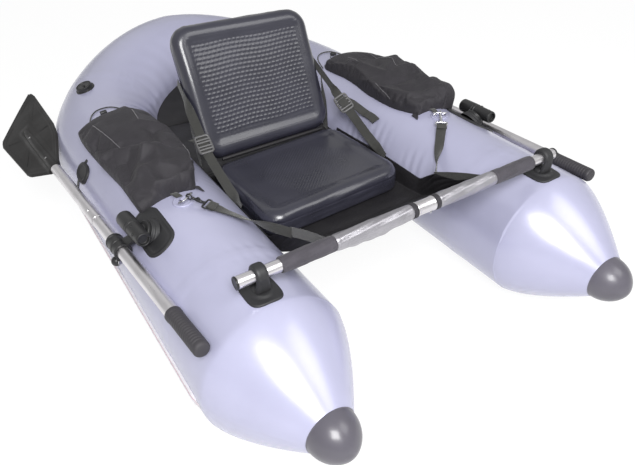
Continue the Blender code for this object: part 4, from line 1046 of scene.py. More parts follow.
def make_mounts():
    """Rubber patch on the crown with a raised pad, and a strap loop that arches over the bar."""
    def pad(a, b):
        return 0.0035 * smoothstep((0.024 - np.hypot(a, b * 0.75)) / 0.006)

    place = (90 - math.degrees((MOUNT_X - LEG_X) / HULL_R), 0)
    low = CROWN_Z + MOUNT_T - BAR_Z
    width = np.linspace(-1, 1, 21)[None]
    t = np.linspace(0, 1, 80)[:, None]
    angle = math.radians(-58) + t * math.radians(296)
    flare = smoothstep(np.maximum(0.16 - t, t - 0.84) / 0.16)
    outer, inner = 0.0178 + 0.0042 * (1 - np.abs(width) ** 5), BAR_R + BAR_GAP
    x = MOUNT_X + width * 0.0122 * (1 + 0.35 * flare)
    rounds = [
        stacked(
            x, BAR_Y + reach * np.cos(angle) * (1 + swell * flare),
            BAR_Z + reach * np.sin(angle) * (1 - flare) + (low + lift) * flare,
        )
        for reach, swell, lift in ((outer, 0.25, 0.001), (inner, 0, 0.0002))
    ]
    points = np.concatenate([rounds[0], rounds[1][:, ::-1]], axis=1)
    neck = [(0.0, low - 0.002), (0.019, low - 0.002), (0.015, low + 0.008), (0.0, low + 0.0125)]
    for side, word in SIDES:
        patch = leg_patch(
            "mount_patch_" + word, MOUNT_SIZE, place, MOUNT_T, "black_rubber", side, 3.6, pad
        )
        fixed(patch, "black_rubber", "bar_mount_" + word)
        loop = closed_skin("mount_loop_" + word, points, "black_rubber", side, 50)
        fixed(loop, "black_rubber")
        foot = lathe("mount_neck_" + word, neck, (0.004, 5), bar_at(MOUNT_X), UP, "black_rubber", side)
        fixed(foot, "black_rubber")


# Seat


def cushion_frames():
    """Origin on the underside, the across, along and up directions of seat and backrest."""
    slope = (SEAT_FRONT_TOP - SEAT_REAR_TOP) / (SEAT_REAR - SEAT_FRONT)
    along = unit((0, 1.0, -slope))
    up = np.cross(ACROSS, along)
    top = from_bar(0, (SEAT_FRONT + SEAT_REAR) / 2, (SEAT_FRONT_TOP + SEAT_REAR_TOP) / 2)
    rise = np.array((0, math.sin(BACK_RECLINE), math.cos(BACK_RECLINE)))
    front = np.cross(ACROSS, rise)
    middle = from_bar(*HINGE) + rise * (BACK_L / 2 + 0.0006)
    return (top - up * SEAT_T, along, up), (middle - front * BACK_T, rise, front)


def rim_loop(half_width, half_length, corner):
    """Rounded rectangle as points: 14 on each quarter circle and 50 on each straight side."""
    quarter = np.linspace(0, math.pi / 2, 14)
    points = []
    for turn, (sx, sy) in enumerate(((1, 1), (-1, 1), (-1, -1), (1, -1))):
        centre = np.array((sx * (half_width - corner), sy * (half_length - corner)))
        angle = quarter + turn * math.pi / 2
        arc = centre + corner * np.column_stack([np.cos(angle), np.sin(angle)])
        after = ((-sx, sy), (sx, -sy))[turn % 2]
        start = np.array((after[0] * (half_width - corner), after[1] * (half_length - corner)))
        end = start + corner * np.array((math.cos(angle[-1]), math.sin(angle[-1])))
        points += [arc, between(arc[-1], end, 52)[1:-1]]
    return np.vstack(points)


def cushion_top(inset, thickness, recess):
    """Height at a distance in from the rim: a quarter round, a broad roll, then the tray."""
    short = np.clip(FOAM_EDGE - inset, 0, FOAM_EDGE)
    round_off = np.sqrt(np.maximum(FOAM_EDGE**2 - short**2, 0)) - FOAM_EDGE
    swell = 0.0012 * hill(inset, TRAY_EDGE, 0.012)
    return thickness - FOAM_CROWN + round_off + swell - recess * smoothstep((inset - TRAY_EDGE) / TRAY_FALL)


def from_rim(x, y, half_width, half_length):
    """Distance in from the rim of the cushion's rounded rectangle."""
    dx = np.abs(x) - (half_width - FOAM_CORNER)
    dy = np.abs(y) - (half_length - FOAM_CORNER)
    out = np.hypot(np.maximum(dx, 0), np.maximum(dy, 0))
    return FOAM_CORNER - out - np.minimum(np.maximum(dx, dy), 0)


def set_in_place(x, y, height, place, size, skew, seed, depth):
    """World points of a cushion: foam waves, the seat swung aside, the backrest taller on its left."""
    uneven = depth * ripple(x * 14, y * 14, seed, 8, 0.8, 3.0)
    rise = BACK_SLANT * (skew == 0) * size[1] * (0.5 - x / size[0]) * np.clip(y / size[1] + 0.5, 0, 1)
    origin, along, up = place
    y, height = y + skew * x + rise, height + uneven
    return origin + x[..., None] * ACROSS + y[..., None] * along + height[..., None] * up


def cushion_shell(name, place, size, recess, skew, seed):
    """Foam block under vinyl: rim loops from the middle of the underside to the middle of the top.

    Each loop is the rim drawn in by an inset. The flank bellies between its seam and the floor,
    and small puckers stand beside the seam at the corners.
    """
    width, length, thickness = size
    half = min(width, length) / 2
    turn = np.linspace(math.pi / 2, 0, 9)[1:]
    over = np.concatenate([
        FOAM_EDGE * (1 - np.cos(np.linspace(0, math.pi / 2, 14)[1:])),
        np.linspace(FOAM_EDGE, TRAY_END, 30)[1:], np.linspace(TRAY_END, 0.94 * half, 30)[1:],
    ])
    insets = np.concatenate([
        np.linspace(0.9 * half, FOAM_FOOT, 16), FOAM_FOOT * (1 - np.cos(turn)), np.zeros(21), over,
    ])
    heights = np.concatenate([
        np.zeros(16), FOAM_FOOT * (1 - np.sin(turn)),
        np.linspace(FOAM_FOOT, thickness - FOAM_EDGE - FOAM_CROWN, 22)[1:],
        cushion_top(over, thickness, recess),
    ])
    loops = [rim_loop(width / 2 - i, length / 2 - i, max(FOAM_CORNER - i, 0.0035)) for i in insets]
    flat = np.array(loops)
    x, y = flat[..., 0], flat[..., 1]
    z = np.repeat(heights[:, None], x.shape[1], 1)
    on_flank = smoothstep(z / FOAM_FOOT) * smoothstep((thickness - z) / 0.016) * (insets[:, None] < 0.02)
    level = z / thickness
    seam = hill(z, thickness * 0.60, 0.0016) * on_flank
    turn = np.arctan2(y * width / length, x)
    corner = np.abs(np.sin(2 * turn)) ** 5
    pucker = np.sin(turn * 70 + 3 * np.sin(turn * 9)) * corner * hill(level, 0.5, 0.16)
    belly = 0.0022 * np.sin(math.pi * np.clip(level, 0, 1)) - 0.0024
    crush = 0.0013 * ripple(turn * 4, level * 5, seed + 9, 9, 1.0, 6.0)
    push = on_flank * (belly + 0.0008 * pucker + crush) - 0.0014 * seam
    away = unit(flat)
    lively = smoothstep(heights / (0.6 * thickness))[:, None]
    x, y = x + away[..., 0] * push, y + away[..., 1] * push
    points = set_in_place(x, y, z, place, size, skew, seed, FOAM_WAVES * lively)
    return closed_skin(name, points, "black_vinyl", crease=75)


def tray_panel(name, place, size, recess, skew, seed, emboss):
    """Embossed part of the top: a fine grid on the same form that dips under it at its border."""
    width, length, thickness = size
    half_w, half_l = width / 2 - TRAY_EDGE, length / 2 - TRAY_EDGE
    u, v = (np.linspace(-1, 1, int(2 * half / TRAY_GRID)) for half in (half_w, half_l))
    x, y = np.broadcast_arrays(u[None] * half_w, v[:, None] * half_l)
    inset = from_rim(x, y, width / 2, length / 2)
    border = np.minimum(half_w - np.abs(x), half_l - np.abs(y))
    height = cushion_top(inset, thickness, recess) - 0.0007 + 0.0009 * smoothstep(border / 0.008)
    height = height + emboss(x, y) * smoothstep((inset - 0.043) / 0.010)
    points = set_in_place(x, y, height, place, size, skew, seed, FOAM_WAVES)
    piece = surface(name, points, "black_vinyl", crease=75)
    if np.dot(np.array(piece.data.polygons[0].normal), place[2]) < 0:
        piece.data.flip_normals()
    return piece


def dashes(x, y):
    """Staggered rows of short raised dashes, each a rounded hump, on soft level waves."""
    row_pitch, pitch = 0.0115, 0.0135
    row = np.floor(y / row_pitch)
    shifted = x / pitch + 0.5 * (row % 2)
    dx = (shifted - np.floor(shifted) - 0.5) * pitch
    dy = y - (row + 0.5) * row_pitch + 0.0016 * np.sin(x * 34)
    away = np.hypot(np.maximum(np.abs(dx) - 0.0024, 0), dy)
    return 0.0008 * smoothstep((0.0046 - away) / 0.0042) * smoothstep((y + 0.13) / 0.03)


def pips(x, y):
    """Diagonal lattice of small raised pips in the middle of the seat."""
    pitch = 0.0105
    a, b = (x + y) / pitch, (x - y) / pitch
    away = np.hypot(a - np.round(a), b - np.round(b)) * pitch
    near = smoothstep((0.135 - np.hypot(x * 0.9, y)) / 0.05)
    return 0.0010 * smoothstep((0.0042 - away) / 0.0032) * near


def make_seat():
    """Seat and backrest, each a shell with an embossed tray, and the bead along their crease."""
    seat, back = cushion_frames()
    seat_length = math.hypot(SEAT_REAR - SEAT_FRONT, SEAT_FRONT_TOP - SEAT_REAR_TOP)
    rows = (
        ("seat", (seat, (SEAT_W, seat_length, SEAT_T), 0.0025, SEAT_SKEW, 61), pips, "hull"),
        ("back", (back, (BACK_W, BACK_L, BACK_T), 0.0035, 0.0, 62), dashes, "backrest"),
    )
    for word, form, pattern, body in rows:
        shell = cushion_shell(word + "_shell", *form)
        fixed(shell, "black_vinyl", word + "_cushion", body=body)
        fixed(tray_panel(word + "_face", *form, pattern), "black_vinyl", body=body)
    profile = [(0, -0.167), (0.0055, -0.167), (0.0055, 0.167), (0, 0.167)]
    bead = lathe("crease_bead", profile, (0.002, 4), from_bar(*HINGE), ACROSS, "coated_black")
    fixed(bead, "black_webbing", "hinge_bead")


# Floor


def make_floor():
    """Sling cloth from the crossbar under the seat, with its flanks up the legs.

    Rows run from the bar to behind the seat, columns from leg to leg: a flat middle, then a flank
    that climbs along the leg's skin. The cloth sags in slow folds towards its front, and its rear
    edge climbs behind the seat to the deck.
    """
    front_y, front_z = FLOOR_FRONT
    drop = front_z - FLOOR_UNDER
    rear_lip = np.array([0.0015, 0.003, 0.0045])
    y = np.concatenate([
        np.linspace(front_y, 0.30, 80), np.linspace(0.30, SEAT_REAR, 50)[1:], SEAT_REAR + rear_lip
    ])
    low = np.interp(
        y, [front_y, 0.1126, 0.2235, 0.278, SEAT_REAR],
        [front_z, front_z - drop * 0.46, front_z - drop * 0.94, FLOOR_UNDER, FLOOR_REAR],
    )
    high = np.interp(
        y, [front_y, 0.102, GUSSET[1], GUSSET[1] + 0.079, ANCHOR[0], SEAT_REAR],
        [front_z, 0.3127, GUSSET[2], ANCHOR[1], ANCHOR[1], 0.222],
    )
    low, high = (running_mean(level, 5)[:, None] for level in (low, high))
    low[-3:, 0] = FLOOR_REAR + rear_lip * 6.8
    y = y[:, None]
    side = np.linspace(-1, 1, 121)[None]
    widest = np.interp(y, [0, 0.278], [0.2105, 0.2185])
    corner_x = np.minimum(wall_x(low, FLOOR_CLEAR), widest)
    hem_x = np.interp(y, [0, GUSSET[1], GUSSET[1] + 0.079], [0.2105, GUSSET[0], 0.231])
    top_x = np.minimum(wall_x(high, FLOOR_CLEAR), hem_x)
    climb = np.clip((np.abs(side) - FLOOR_FLAT) / (1 - FLOOR_FLAT), 0, 1)
    z = low + (high - low) * climb
    x_flank = np.minimum(corner_x + (top_x - corner_x) * climb, wall_x(z, FLOOR_CLEAR))
    x = np.where(climb > 0, x_flank, corner_x * np.abs(side) / FLOOR_FLAT) * np.sign(side)
    front = smoothstep((0.27 - y) / 0.1) * smoothstep((y - front_y) / 0.05) * (1 - climb)
    z = z - front * (0.006 * (1 - (side / FLOOR_FLAT) ** 2)) + front * 0.0035 * np.sin(side * 9 + y * 26)
    drawn = hill(y, GUSSET[1], 0.05) * smoothstep((climb - 0.1) / 0.3) * smoothstep((y - 0.03) / 0.03)
    x = x - np.sign(side) * 0.0035 * drawn * np.abs(np.sin(climb * 9 + y * 60))
    floor = surface("sling_cloth", stacked(x, BAR_Y + y, z), "coated_black", crease=60)
    thicken(floor)
    fixed(floor, "black_fabric", "seat_floor")
    start, end = from_bar(GUSSET[0] + 0.001, GUSSET[1], GUSSET[2] - 0.010), from_bar(0.2118, 0.020, 0.3535)
    bow = (0, 0, 0.003) * np.sin(np.linspace(0, math.pi, 50))[:, None]
    path = between(start, end, 50) + bow + (0.0022, 0, 0)
    for side, word in SIDES:
        fixed(webbing("hem_web_" + word, path, (-0.1, 0.5, 0.85), 0.024, CLOTH_T, side), "black_webbing")


def make_deck():
    """Panel behind the seat: rows follow the inboard wall of the legs and the stern."""
    leg_x = float(wall_x(np.array(DECK_LEVEL), 0.0004))
    leg = stacked(leg_x, BAR_Y + np.linspace(DECK_FRONT, LEG_END, 30), DECK_LEVEL)
    share = np.linspace(0, DECK_SHARE, 41)[1:]
    centre = stern_curve(share)
    run = unit((stern_curve(share + 0.004) - stern_curve(np.maximum(share - 0.004, 0)))[:, :2])
    inward = np.stack([-run[:, 1], run[:, 0]], -1)
    z = DECK_LEVEL + DECK_CLIMB * share / DECK_SHARE
    reach = np.sqrt(HULL_R**2 - (centre[:, 2] - z) ** 2) + 0.0004
    edge = np.column_stack([centre[:, :2] + inward * reach[:, None], z])
    rim_x, y, level = np.vstack([leg, edge]).T[..., None]
    u = np.linspace(-1, 1, 90)[None]
    x = rim_x * u
    sag = -DECK_SAG * (1 - u**2) * smoothstep((y - BAR_Y - 0.66) / 0.2)
    fold = 0.0028 * ripple(x * 9, (y + 0 * x) * 9, 71, 8, 1.0, 5.0)
    deck = surface("deck_cloth", stacked(x, y, level + sag + fold * (1 - u**4)), "coated_black", crease=60)
    thicken(deck)
    fixed(deck, "black_fabric", "rear_deck")


# Stage


def make_stage(stage):
    """Camera in front, left and above, a pale floor, an even sky and three soft lamps."""
    scene = bpy.context.scene
    azimuth, elevation, roll = (math.radians(a) for a in CAMERA_TURN)
    level = math.cos(elevation)
    look_at = np.array((-math.sin(azimuth) * level, math.cos(azimuth) * level, -math.sin(elevation)))
    right = unit(np.cross(look_at, UP))
    up = np.cross(right, look_at)
    turned_right = math.cos(roll) * right + math.sin(roll) * up
    turned_up = -math.sin(roll) * right + math.cos(roll) * up
    camera = bpy.data.cameras.new("camera")
    camera.lens = stage.lens
    camera.sensor_width = 36
    camera.clip_start = 0.05
    turn = Matrix((turned_right, turned_up, -look_at)).transposed().to_4x4()
    turn.translation = Vector(from_bar(*CAMERA_SPOT))
    scene.camera = placed("camera", camera)
    scene.camera.matrix_world = turn
    mesh = bpy.data.meshes.new("studio_floor")
    size = stage.floor_size
    corners = [(x * size, y * size, -0.0005) for x, y in ((-1, -1), (1, -1), (1, 1), (-1, 1))]
    mesh.from_pydata(corners, [], [(0, 1, 2, 3)])
    mesh.materials.append(backdrop_look("pale floor"))
    placed("studio_floor", mesh)
    make_sky(scene, stage.sky)
    for word, spot, width in LAMPS:
        lamp = bpy.data.lights.new(word, "AREA")
        lamp.shape = "SQUARE"
        lamp.size = width
        lamp.energy = getattr(stage, word)
        holder = placed(word, lamp)
        holder.location = spot
        aim = Vector((0, 0, 0.2)) - Vector(spot)
        holder.rotation_euler = aim.to_track_quat("-Z", "Y").to_euler()
    scene.view_settings.view_transform = "Standard"


def placed(name, data):
    """Object of some data in the scene's own collection."""
    holder = bpy.data.objects.new(name, data)
    bpy.context.scene.collection.objects.link(holder)
    return holder


def make_sky(scene, sky):
    """White to the camera, weaker in mirrors, and at the sky's strength as a light."""
    scene.world = bpy.data.worlds.new("studio")
    scene.world.use_nodes = True
    tree = scene.world.node_tree
    path = tree.nodes.new("ShaderNodeLightPath")
    mirrored = math_node(tree, "MULTIPLY", path.outputs["Is Glossy Ray"], SKY_IN_MIRRORS)
    seen = math_node(tree, "MAXIMUM", path.outputs["Is Camera Ray"], mirrored)
    strength = tree.nodes.new("ShaderNodeMapRange")
    feed(tree, strength, {"To Min": sky, "To Max": 1.0, "Value": seen})
    back = tree.nodes["Background"]
    feed(tree, back, {"Color": (1, 1, 1, 1), "Strength": strength.outputs["Result"]})


def backdrop_look(name):
    """Floor that is white to the camera and in mirrors away from the object, and keeps its shadow."""
    look, tree, shader, _ = new_look(name)
    feed(tree, shader, {"Base Color": (0.9, 0.9, 0.9, 1), "Roughness": 0.9, "Specular IOR Level": 0.1})
    glow = tree.nodes.new("ShaderNodeEmission")
    glow.inputs["Strength"].default_value = FLOOR_GLOW
    path = tree.nodes.new("ShaderNodeLightPath")
    seen = math_node(tree, "MAXIMUM", path.outputs["Is Camera Ray"], path.outputs["Is Glossy Ray"])
    share = math_node(tree, "MULTIPLY", seen, FLOOR_GLOW_SHARE)
    mix = tree.nodes.new("ShaderNodeMixShader")
    feed(tree, mix, {"Fac": share, 1: shader.outputs["BSDF"], 2: glow.outputs["Emission"]})
    tree.links.new(mix.outputs["Shader"], tree.nodes["Material Output"].inputs["Surface"])
    return look


# Webbing, rings and hooks


def web_thickness():
    return bpy.context.scene.float_tube_sizes.web


def mirrored_point(point, side):
    return (float(point[0]) * side, float(point[1]), float(point[2]))


def side_strap_route(side):
    """Backrest flank, buckle and floor hem, as points and as the strap's width directions.

    The strap is sewn flat on the flank and the hem and turns its face forward between them.
    """
    top = from_bar(*STRAP_TOP)
    buckle = from_bar(*BUCKLE)
    anchor = from_bar(float(wall_x(np.array(ANCHOR[1]), 0.0074)), *ANCHOR)
    run = unit(buckle - top)
    upright = unit(np.cross(ACROSS, run))
    rest = buckle + run * BUCKLE_SIZE[1] * 0.7
    bow = (rest + anchor) / 2 - 0.004 * UP
    path = smooth_path([top, (top + buckle) / 2, buckle, rest, bow, anchor], 90)
    share = np.linspace(0, 1, len(path))[:, None]
    facing = unit((1.0, -0.17, STRAP_LEAN[side]))
    facing = unit(facing - run * np.dot(facing, run))
    start, length = STRAP_TURN[side]
    face_on = smoothstep((share - start) / length) * smoothstep((1 - share) / 0.16)
    flat = -upright if np.dot(upright, facing) < 0 else upright
    return path, unit(flat + (facing - flat) * face_on), top, buckle, anchor, run, facing


def ladder_buckle(name, centre, run, across, side):
    """Moulded ladder lock: a rounded frame with an upturned lip and four cross bars."""
    width, length = BUCKLE_SIZE
    normal = unit(np.cross(run, across))
    turn = turns(80)
    reach = squircle(turn, 7)
    a = reach * np.cos(turn) * (width / 2 - 0.0028)
    b = reach * np.sin(turn) * (length / 2 - 0.0030)
    lift = 0.0022 * smoothstep((np.abs(b) - length * 0.3) / (length * 0.2))
    path = centre + a[:, None] * across + b[:, None] * run + lift[:, None] * normal
    made = [rope(name + "_frame", path, 0.0034, "buckle", side, True, 14)]
    for number, at in enumerate(BUCKLE_BARS):
        middle = centre + run * length * at + normal * (0.0022 if number % 2 else 0.0028)
        bar = smooth_path([middle + across * s * (width / 2 - 0.002) for s in (-1, 0, 1)], 12)
        made.append(rope(f"{name}_bar_{number}", bar, 0.0030, "buckle", side, False, 12))
    return joined_pieces(made)


def strap_tail(buckle, run, face, side):
    """Loose end of a side strap: offsets from the buckle along the strap, outboard and out of it."""
    path = smooth_path([buckle + run * a + ACROSS * b + face * c for a, b, c in STRAP_TAIL[side]], 44)
    return off_hull(path, RIGHT, 0.006)


def make_straps():
    """Side straps through their buckles, their loose ends, and the brace straps."""
    web = web_thickness()
    for side, word in SIDES:
        path, across, top, buckle, anchor, run, facing = side_strap_route(side)
        ends = mirrored_point(anchor, side), mirrored_point(top, side)
        strap = webbing("side_web_" + word, path, across, STRAP_W, web, side)
        blended(strap, "black_webbing", "backrest", *ends, "side_strap_" + word)
        lock = ladder_buckle("ladder_lock_" + word, buckle, run, facing, side)
        blended(lock, "black_plastic", "backrest", *ends, "strap_buckle_" + word)
        face = unit(np.cross(run, facing))
        face = -face if face[1] > 0 else face
        tail = strap_tail(buckle, run, face, side)
        loose = webbing("tail_web_" + word, tail, facing, STRAP_W * 0.94, web, side)
        blended(loose, "black_webbing", "backrest", *ends)
        brace_top, foot = from_bar(*BRACE_TOP), from_bar(BRACE_TOP[0], *BRACE_FOOT)
        path = smooth_path([brace_top, (brace_top + foot) / 2 + (0.004, 0.002, 0), foot], 60)
        turn = smoothstep(np.linspace(0, 1, 60) / 0.5)[:, None]
        lean = unit((0.5, 1.0, 0.15) + turn * (-0.5, 0, 0))
        brace = webbing("brace_web_" + word, path, lean, STRAP_W, web, side)
        ends = mirrored_point(foot, side), mirrored_point(brace_top, side)
        blended(brace, "black_webbing", "backrest", *ends, "brace_strap_" + word)


def ring_frame():
    """Towards the hook, along the ring's bar, up the leaning ring, and the ring bar's middle."""
    ahead = np.array((math.cos(RING_HEADING), math.sin(RING_HEADING), 0))
    rise = ahead * math.cos(RING_LEAN) + UP * math.sin(RING_LEAN)
    axis = from_bar(LEG_X, RING_Y, CROWN_Z + RING_PATCH_T + RING_WIRE + 0.0004)
    return ahead, np.cross(UP, ahead), rise, axis


def snap_hook(word, side, bar, run, hang):
    """Loop on the ring, turned shank with its thumb piece, and the strap's eye."""
    look = "plated_steel" if side == RIGHT else "black_plastic"
    normal = unit(np.cross(run, bar))
    centre = hang + run * (HOOK_LOOP - RING_WIRE - HOOK_WIRE - 0.0008)
    start = centre + run * HOOK_LOOP
    end = start + run * HOOK_SHANK
    far = end + run * HOOK_EYE
    turn = turns(60)
    path = centre + np.outer(np.cos(turn), run) * HOOK_LOOP * 1.05
    path = path + np.outer(np.sin(turn), normal) * HOOK_LOOP
    made = [rope("hook_loop_" + word, path, HOOK_WIRE, look, side, True, 14)]
    profile = [
        (0, -0.001), (0.0026, 0.0), (0.0040, 0.004), (0.0030, 0.006), (0.0030, 0.010), (0.0041, 0.0115),
        (0.0041, 0.023), (0.0032, 0.0245), (0.0032, 0.030), (0.0046, 0.0315), (0.0046, HOOK_SHANK),
        (0, HOOK_SHANK),
    ]
    made.append(lathe("hook_shank_" + word, profile, (0.0008, 3), start, run, look, side, count=40))
    thumb = ((0.012, 0.004), (0.015, 0.0072), (0.019, 0.0072), (0.021, 0.004))
    path = smooth_path([start + run * a + normal * b for a, b in thumb], 24)
    made.append(rope("hook_thumb_" + word, path, 0.0015, look, side, False, 12))
    half = bar * HOOK_EYE_HALF
    corners = softened([end - half, end + half, far + half, far - half], 0.0045, 4, True)
    path = smooth_path(corners, 90, True)
    made.append(rope("hook_eye_" + word, path, HOOK_WIRE * 1.15, look, side, True, 14))
    return joined_pieces(made, "clip_" + word), far


def make_rings():
    """Round welded patch with its strap tab, the steel ring, the snap hook and the front strap."""
    def raised(a, b):
        rim = np.hypot(a, b)
        wave = 0.0005 * np.cos(rim * 900) * smoothstep((rim - 0.016) / 0.003)
        return wave - 0.0006 * smoothstep((0.012 - rim) / 0.004)

    ahead, bar, rise, axis = ring_frame()
    angle = np.linspace(0, math.pi, 15)[:, None]
    arc = axis + bar * RING_HALF * np.cos(angle) + rise * (RING_SIDE + RING_RISE * np.sin(angle))
    corners = [axis - bar * RING_HALF, axis + bar * RING_HALF, *arc]
    wire_path = smooth_path(softened(corners, 0.004, 3, True), 110, True)
    turn = np.linspace(-0.55, math.pi + 0.55, 40)
    over = axis + np.outer(np.cos(turn), ahead) * 0.0052 + np.outer(np.sin(turn), UP) * 0.0046
    feet = [over[end] * (1, 1, 0) + (0, 0, axis[2] - 0.0026) for end in (0, -1)]
    tab_path = smooth_path(np.vstack([feet[0] + ahead * 0.009, over, feet[1] - ahead * 0.009]), 60)
    run = ahead * math.cos(HOOK_DROP) - UP * math.sin(HOOK_DROP)
    size = (2 * RING_PATCH_R, 2 * RING_PATCH_R)
    for side, word in SIDES:
        body = "ring_" + word
        patch = leg_patch(
            "ring_disc_" + word, size, (90, RING_Y), RING_PATCH_T, "silver_pvc", side, 2.0, raised
        )
        fixed(patch, "silver_pvc", "ring_patch_" + word)
        fixed(webbing("ring_tab_" + word, tab_path, bar, 0.016, CLOTH_T, side, "silver_pvc"), "silver_pvc")
        ring = rope("ring_wire_" + word, wire_path, RING_WIRE, "plated_steel", side, True, 18)
        fixed(ring, "plated_steel", "d_ring_" + word, body=body)
        hook, far = snap_hook(word, side, bar, run, axis + rise * (RING_SIDE + RING_RISE))
        fixed(hook, "plated_steel", "snap_hook_" + word, body=body)
        make_front_strap(side, word, far, run, bar)


def make_front_strap(side, word, far, run, bar):
    """Webbing from the hook's eye down the leg's inner flank to the sling cloth's gusset."""
    web = web_thickness()
    top = far + run * 0.0024
    foot = from_bar(GUSSET[0] + 0.0035, GUSSET[1], GUSSET[2] - STRAP_W / 2)
    share = np.linspace(0, 1, 60)[:, None]
    path = top + (foot - top) * share - (0, 0, 0.004) * np.sin(math.pi * share)
    away = unit((path - (LEG_X, 0, AXIS_Z)) * (1, 0, 1))
    path = off_hull(path, RIGHT, 0.0066)
    lying = unit(np.cross(unit(np.gradient(path, axis=0)), away))
    lying = lying * np.sign(lying @ bar)[:, None]
    upright = np.array((-0.15, 0.0, 0.99))
    upright = upright * np.sign(upright @ lying[-1])
    across = unit(bar + (lying - bar) * smoothstep(share / 0.25))
    across = unit(across + (upright - across) * smoothstep((share - 0.35) / 0.5))
    strap = webbing("front_web_" + word, path, across, STRAP_W, web, side)
    ends = mirrored_point(foot, side), mirrored_point(top, side)
    blended(strap, "black_webbing", "ring_" + word, *ends, "front_strap_" + word)
    turn = np.linspace(-2.2, 2.2, 26)
    normal = unit(np.cross(run, bar))
    wrap = far + np.outer(np.cos(turn), -run) * 0.0034 + np.outer(np.sin(turn), normal) * 0.0034
    wrap = np.vstack([wrap[0] + run * 0.012 + normal * 0.001, wrap, wrap[-1] + run * 0.016])
    fold = webbing("front_fold_" + word, smooth_path(wrap, 50), bar, STRAP_W, web * 0.8, side)
    fixed(fold, "black_webbing", body="ring_" + word)


# Side bags


def bag_form(v, side):
    """Outer and inner edge angles, and heights over the hull outside and on the crown."""
    outer, inner, high, crown = (
        running_mean(np.interp(v.ravel(), BAG_STATIONS, row), 9)[:, None] for row in BAG_FORM[side]
    )
    return outer, inner, high / 1000, crown / 1000


def bag_body(u, v):
    """Share of the full height: steep walls round a broad top."""
    def rise(share, power):
        return np.clip(1 - (1 - np.clip(share, 0, 1)) ** power, 0, 1)

    wall = rise(u / 0.10, 2.4) * rise((1 - u) / 0.15, 2.2)
    return wall * np.sqrt(rise(v / 0.030, 2)) * np.sqrt(rise((1 - v) / 0.06, 2))


def from_line(a, b, line):
    """Distance of points from a polyline of (a, b) corners."""
    best = np.full(a.shape, 1e9)
    for (a0, b0), (a1, b1) in zip(line, line[1:]):
        run_a, run_b = a1 - a0, b1 - b0
        share = np.clip(((a - a0) * run_a + (b - b0) * run_b) / (run_a**2 + run_b**2), 0, 1)
        best = np.minimum(best, np.hypot(a - a0 - run_a * share, b - b0 - run_b * share))
    return best


def bag_height(u, v, side):
    """Height over the hull: a loft with a broad top, and sharp folds along the bag's fold lines."""
    high, crown = bag_form(v, side)[2:]
    top = high + (crown - high) * smoothstep((u - 0.08) / 0.5) - 0.004 * smoothstep((u - 0.6) / 0.4)
    body = bag_body(u, v)
    slack = ripple(u * 3.0, v * 5.0, 41 + side, 9, 0.8, 3.5)
    a, b = np.broadcast_arrays(u * BAG_WIDTH, v * BAG_LENGTH)
    folds = 0
    for rise, width, line in BAG_FOLDS[side]:
        away = from_line(a, b, [(x * BAG_WIDTH, y * BAG_LENGTH) for x, y in line])
        folds = folds + BAG_FOLD_SCALE[side] * rise / 1000 * np.exp(-((away * 650 / width) ** 1.4))
    height = top * body * (0.97 + 0.05 * slack) + folds * smoothstep(body / 0.7)
    return np.clip(height, 0.0012, BAG_TOP)


def crumple(piece, free):
    """Cloth simulation without gravity: cloth a little too large for its form buckles into folds.

    free is 1 where a point may move and 0 where it is held. No point moves further than the cap.
    """
    mesh = piece.data
    start = vertices(mesh)
    held = piece.vertex_groups.new(name="held")
    level = np.round((1 - free) * 10).astype(int)
    for value in range(1, 11):
        held.add(np.flatnonzero(level == value).tolist(), value / 10, "REPLACE")
    cloth = piece.modifiers.new("cloth", "CLOTH")
    settings = cloth.settings
    for name, value in BAG_CLOTH.items():
        setattr(settings, name, value)
    settings.vertex_group_mass = "held"
    settings.effector_weights.gravity = 0
    cloth.point_cache.frame_end = CLOTH_FRAMES
    scene = bpy.context.scene
    for number in range(1, CLOTH_FRAMES + 1):
        scene.frame_set(number)
    step = vertices(piece.evaluated_get(bpy.context.evaluated_depsgraph_get()).data) - start
    piece.modifiers.remove(cloth)
    piece.vertex_groups.clear()
    scene.frame_set(1)
    reach = np.linalg.norm(step, axis=1, keepdims=True)
    step = step * np.tanh(reach / CLOTH_CAP) * CLOTH_CAP / np.maximum(reach, 1e-9) * free[:, None]
    mesh.vertices.foreach_set("co", (start + step).ravel())
    mesh.update()


def on_grid(grid, u, v):
    """Points on a grid of points at shares across (u) and along (v), by the four corners' mean."""
    row, col = v * (grid.shape[0] - 1), u * (grid.shape[1] - 1)
    low_row = np.clip(row.astype(int), 0, grid.shape[0] - 2)
    low_col = np.clip(col.astype(int), 0, grid.shape[1] - 2)
    a, b = (row - low_row)[:, None], (col - low_col)[:, None]
    near = grid[low_row, low_col] * (1 - b) + grid[low_row, low_col + 1] * b
    far = grid[low_row + 1, low_col] * (1 - b) + grid[low_row + 1, low_col + 1] * b
    return near * (1 - a) + far * a


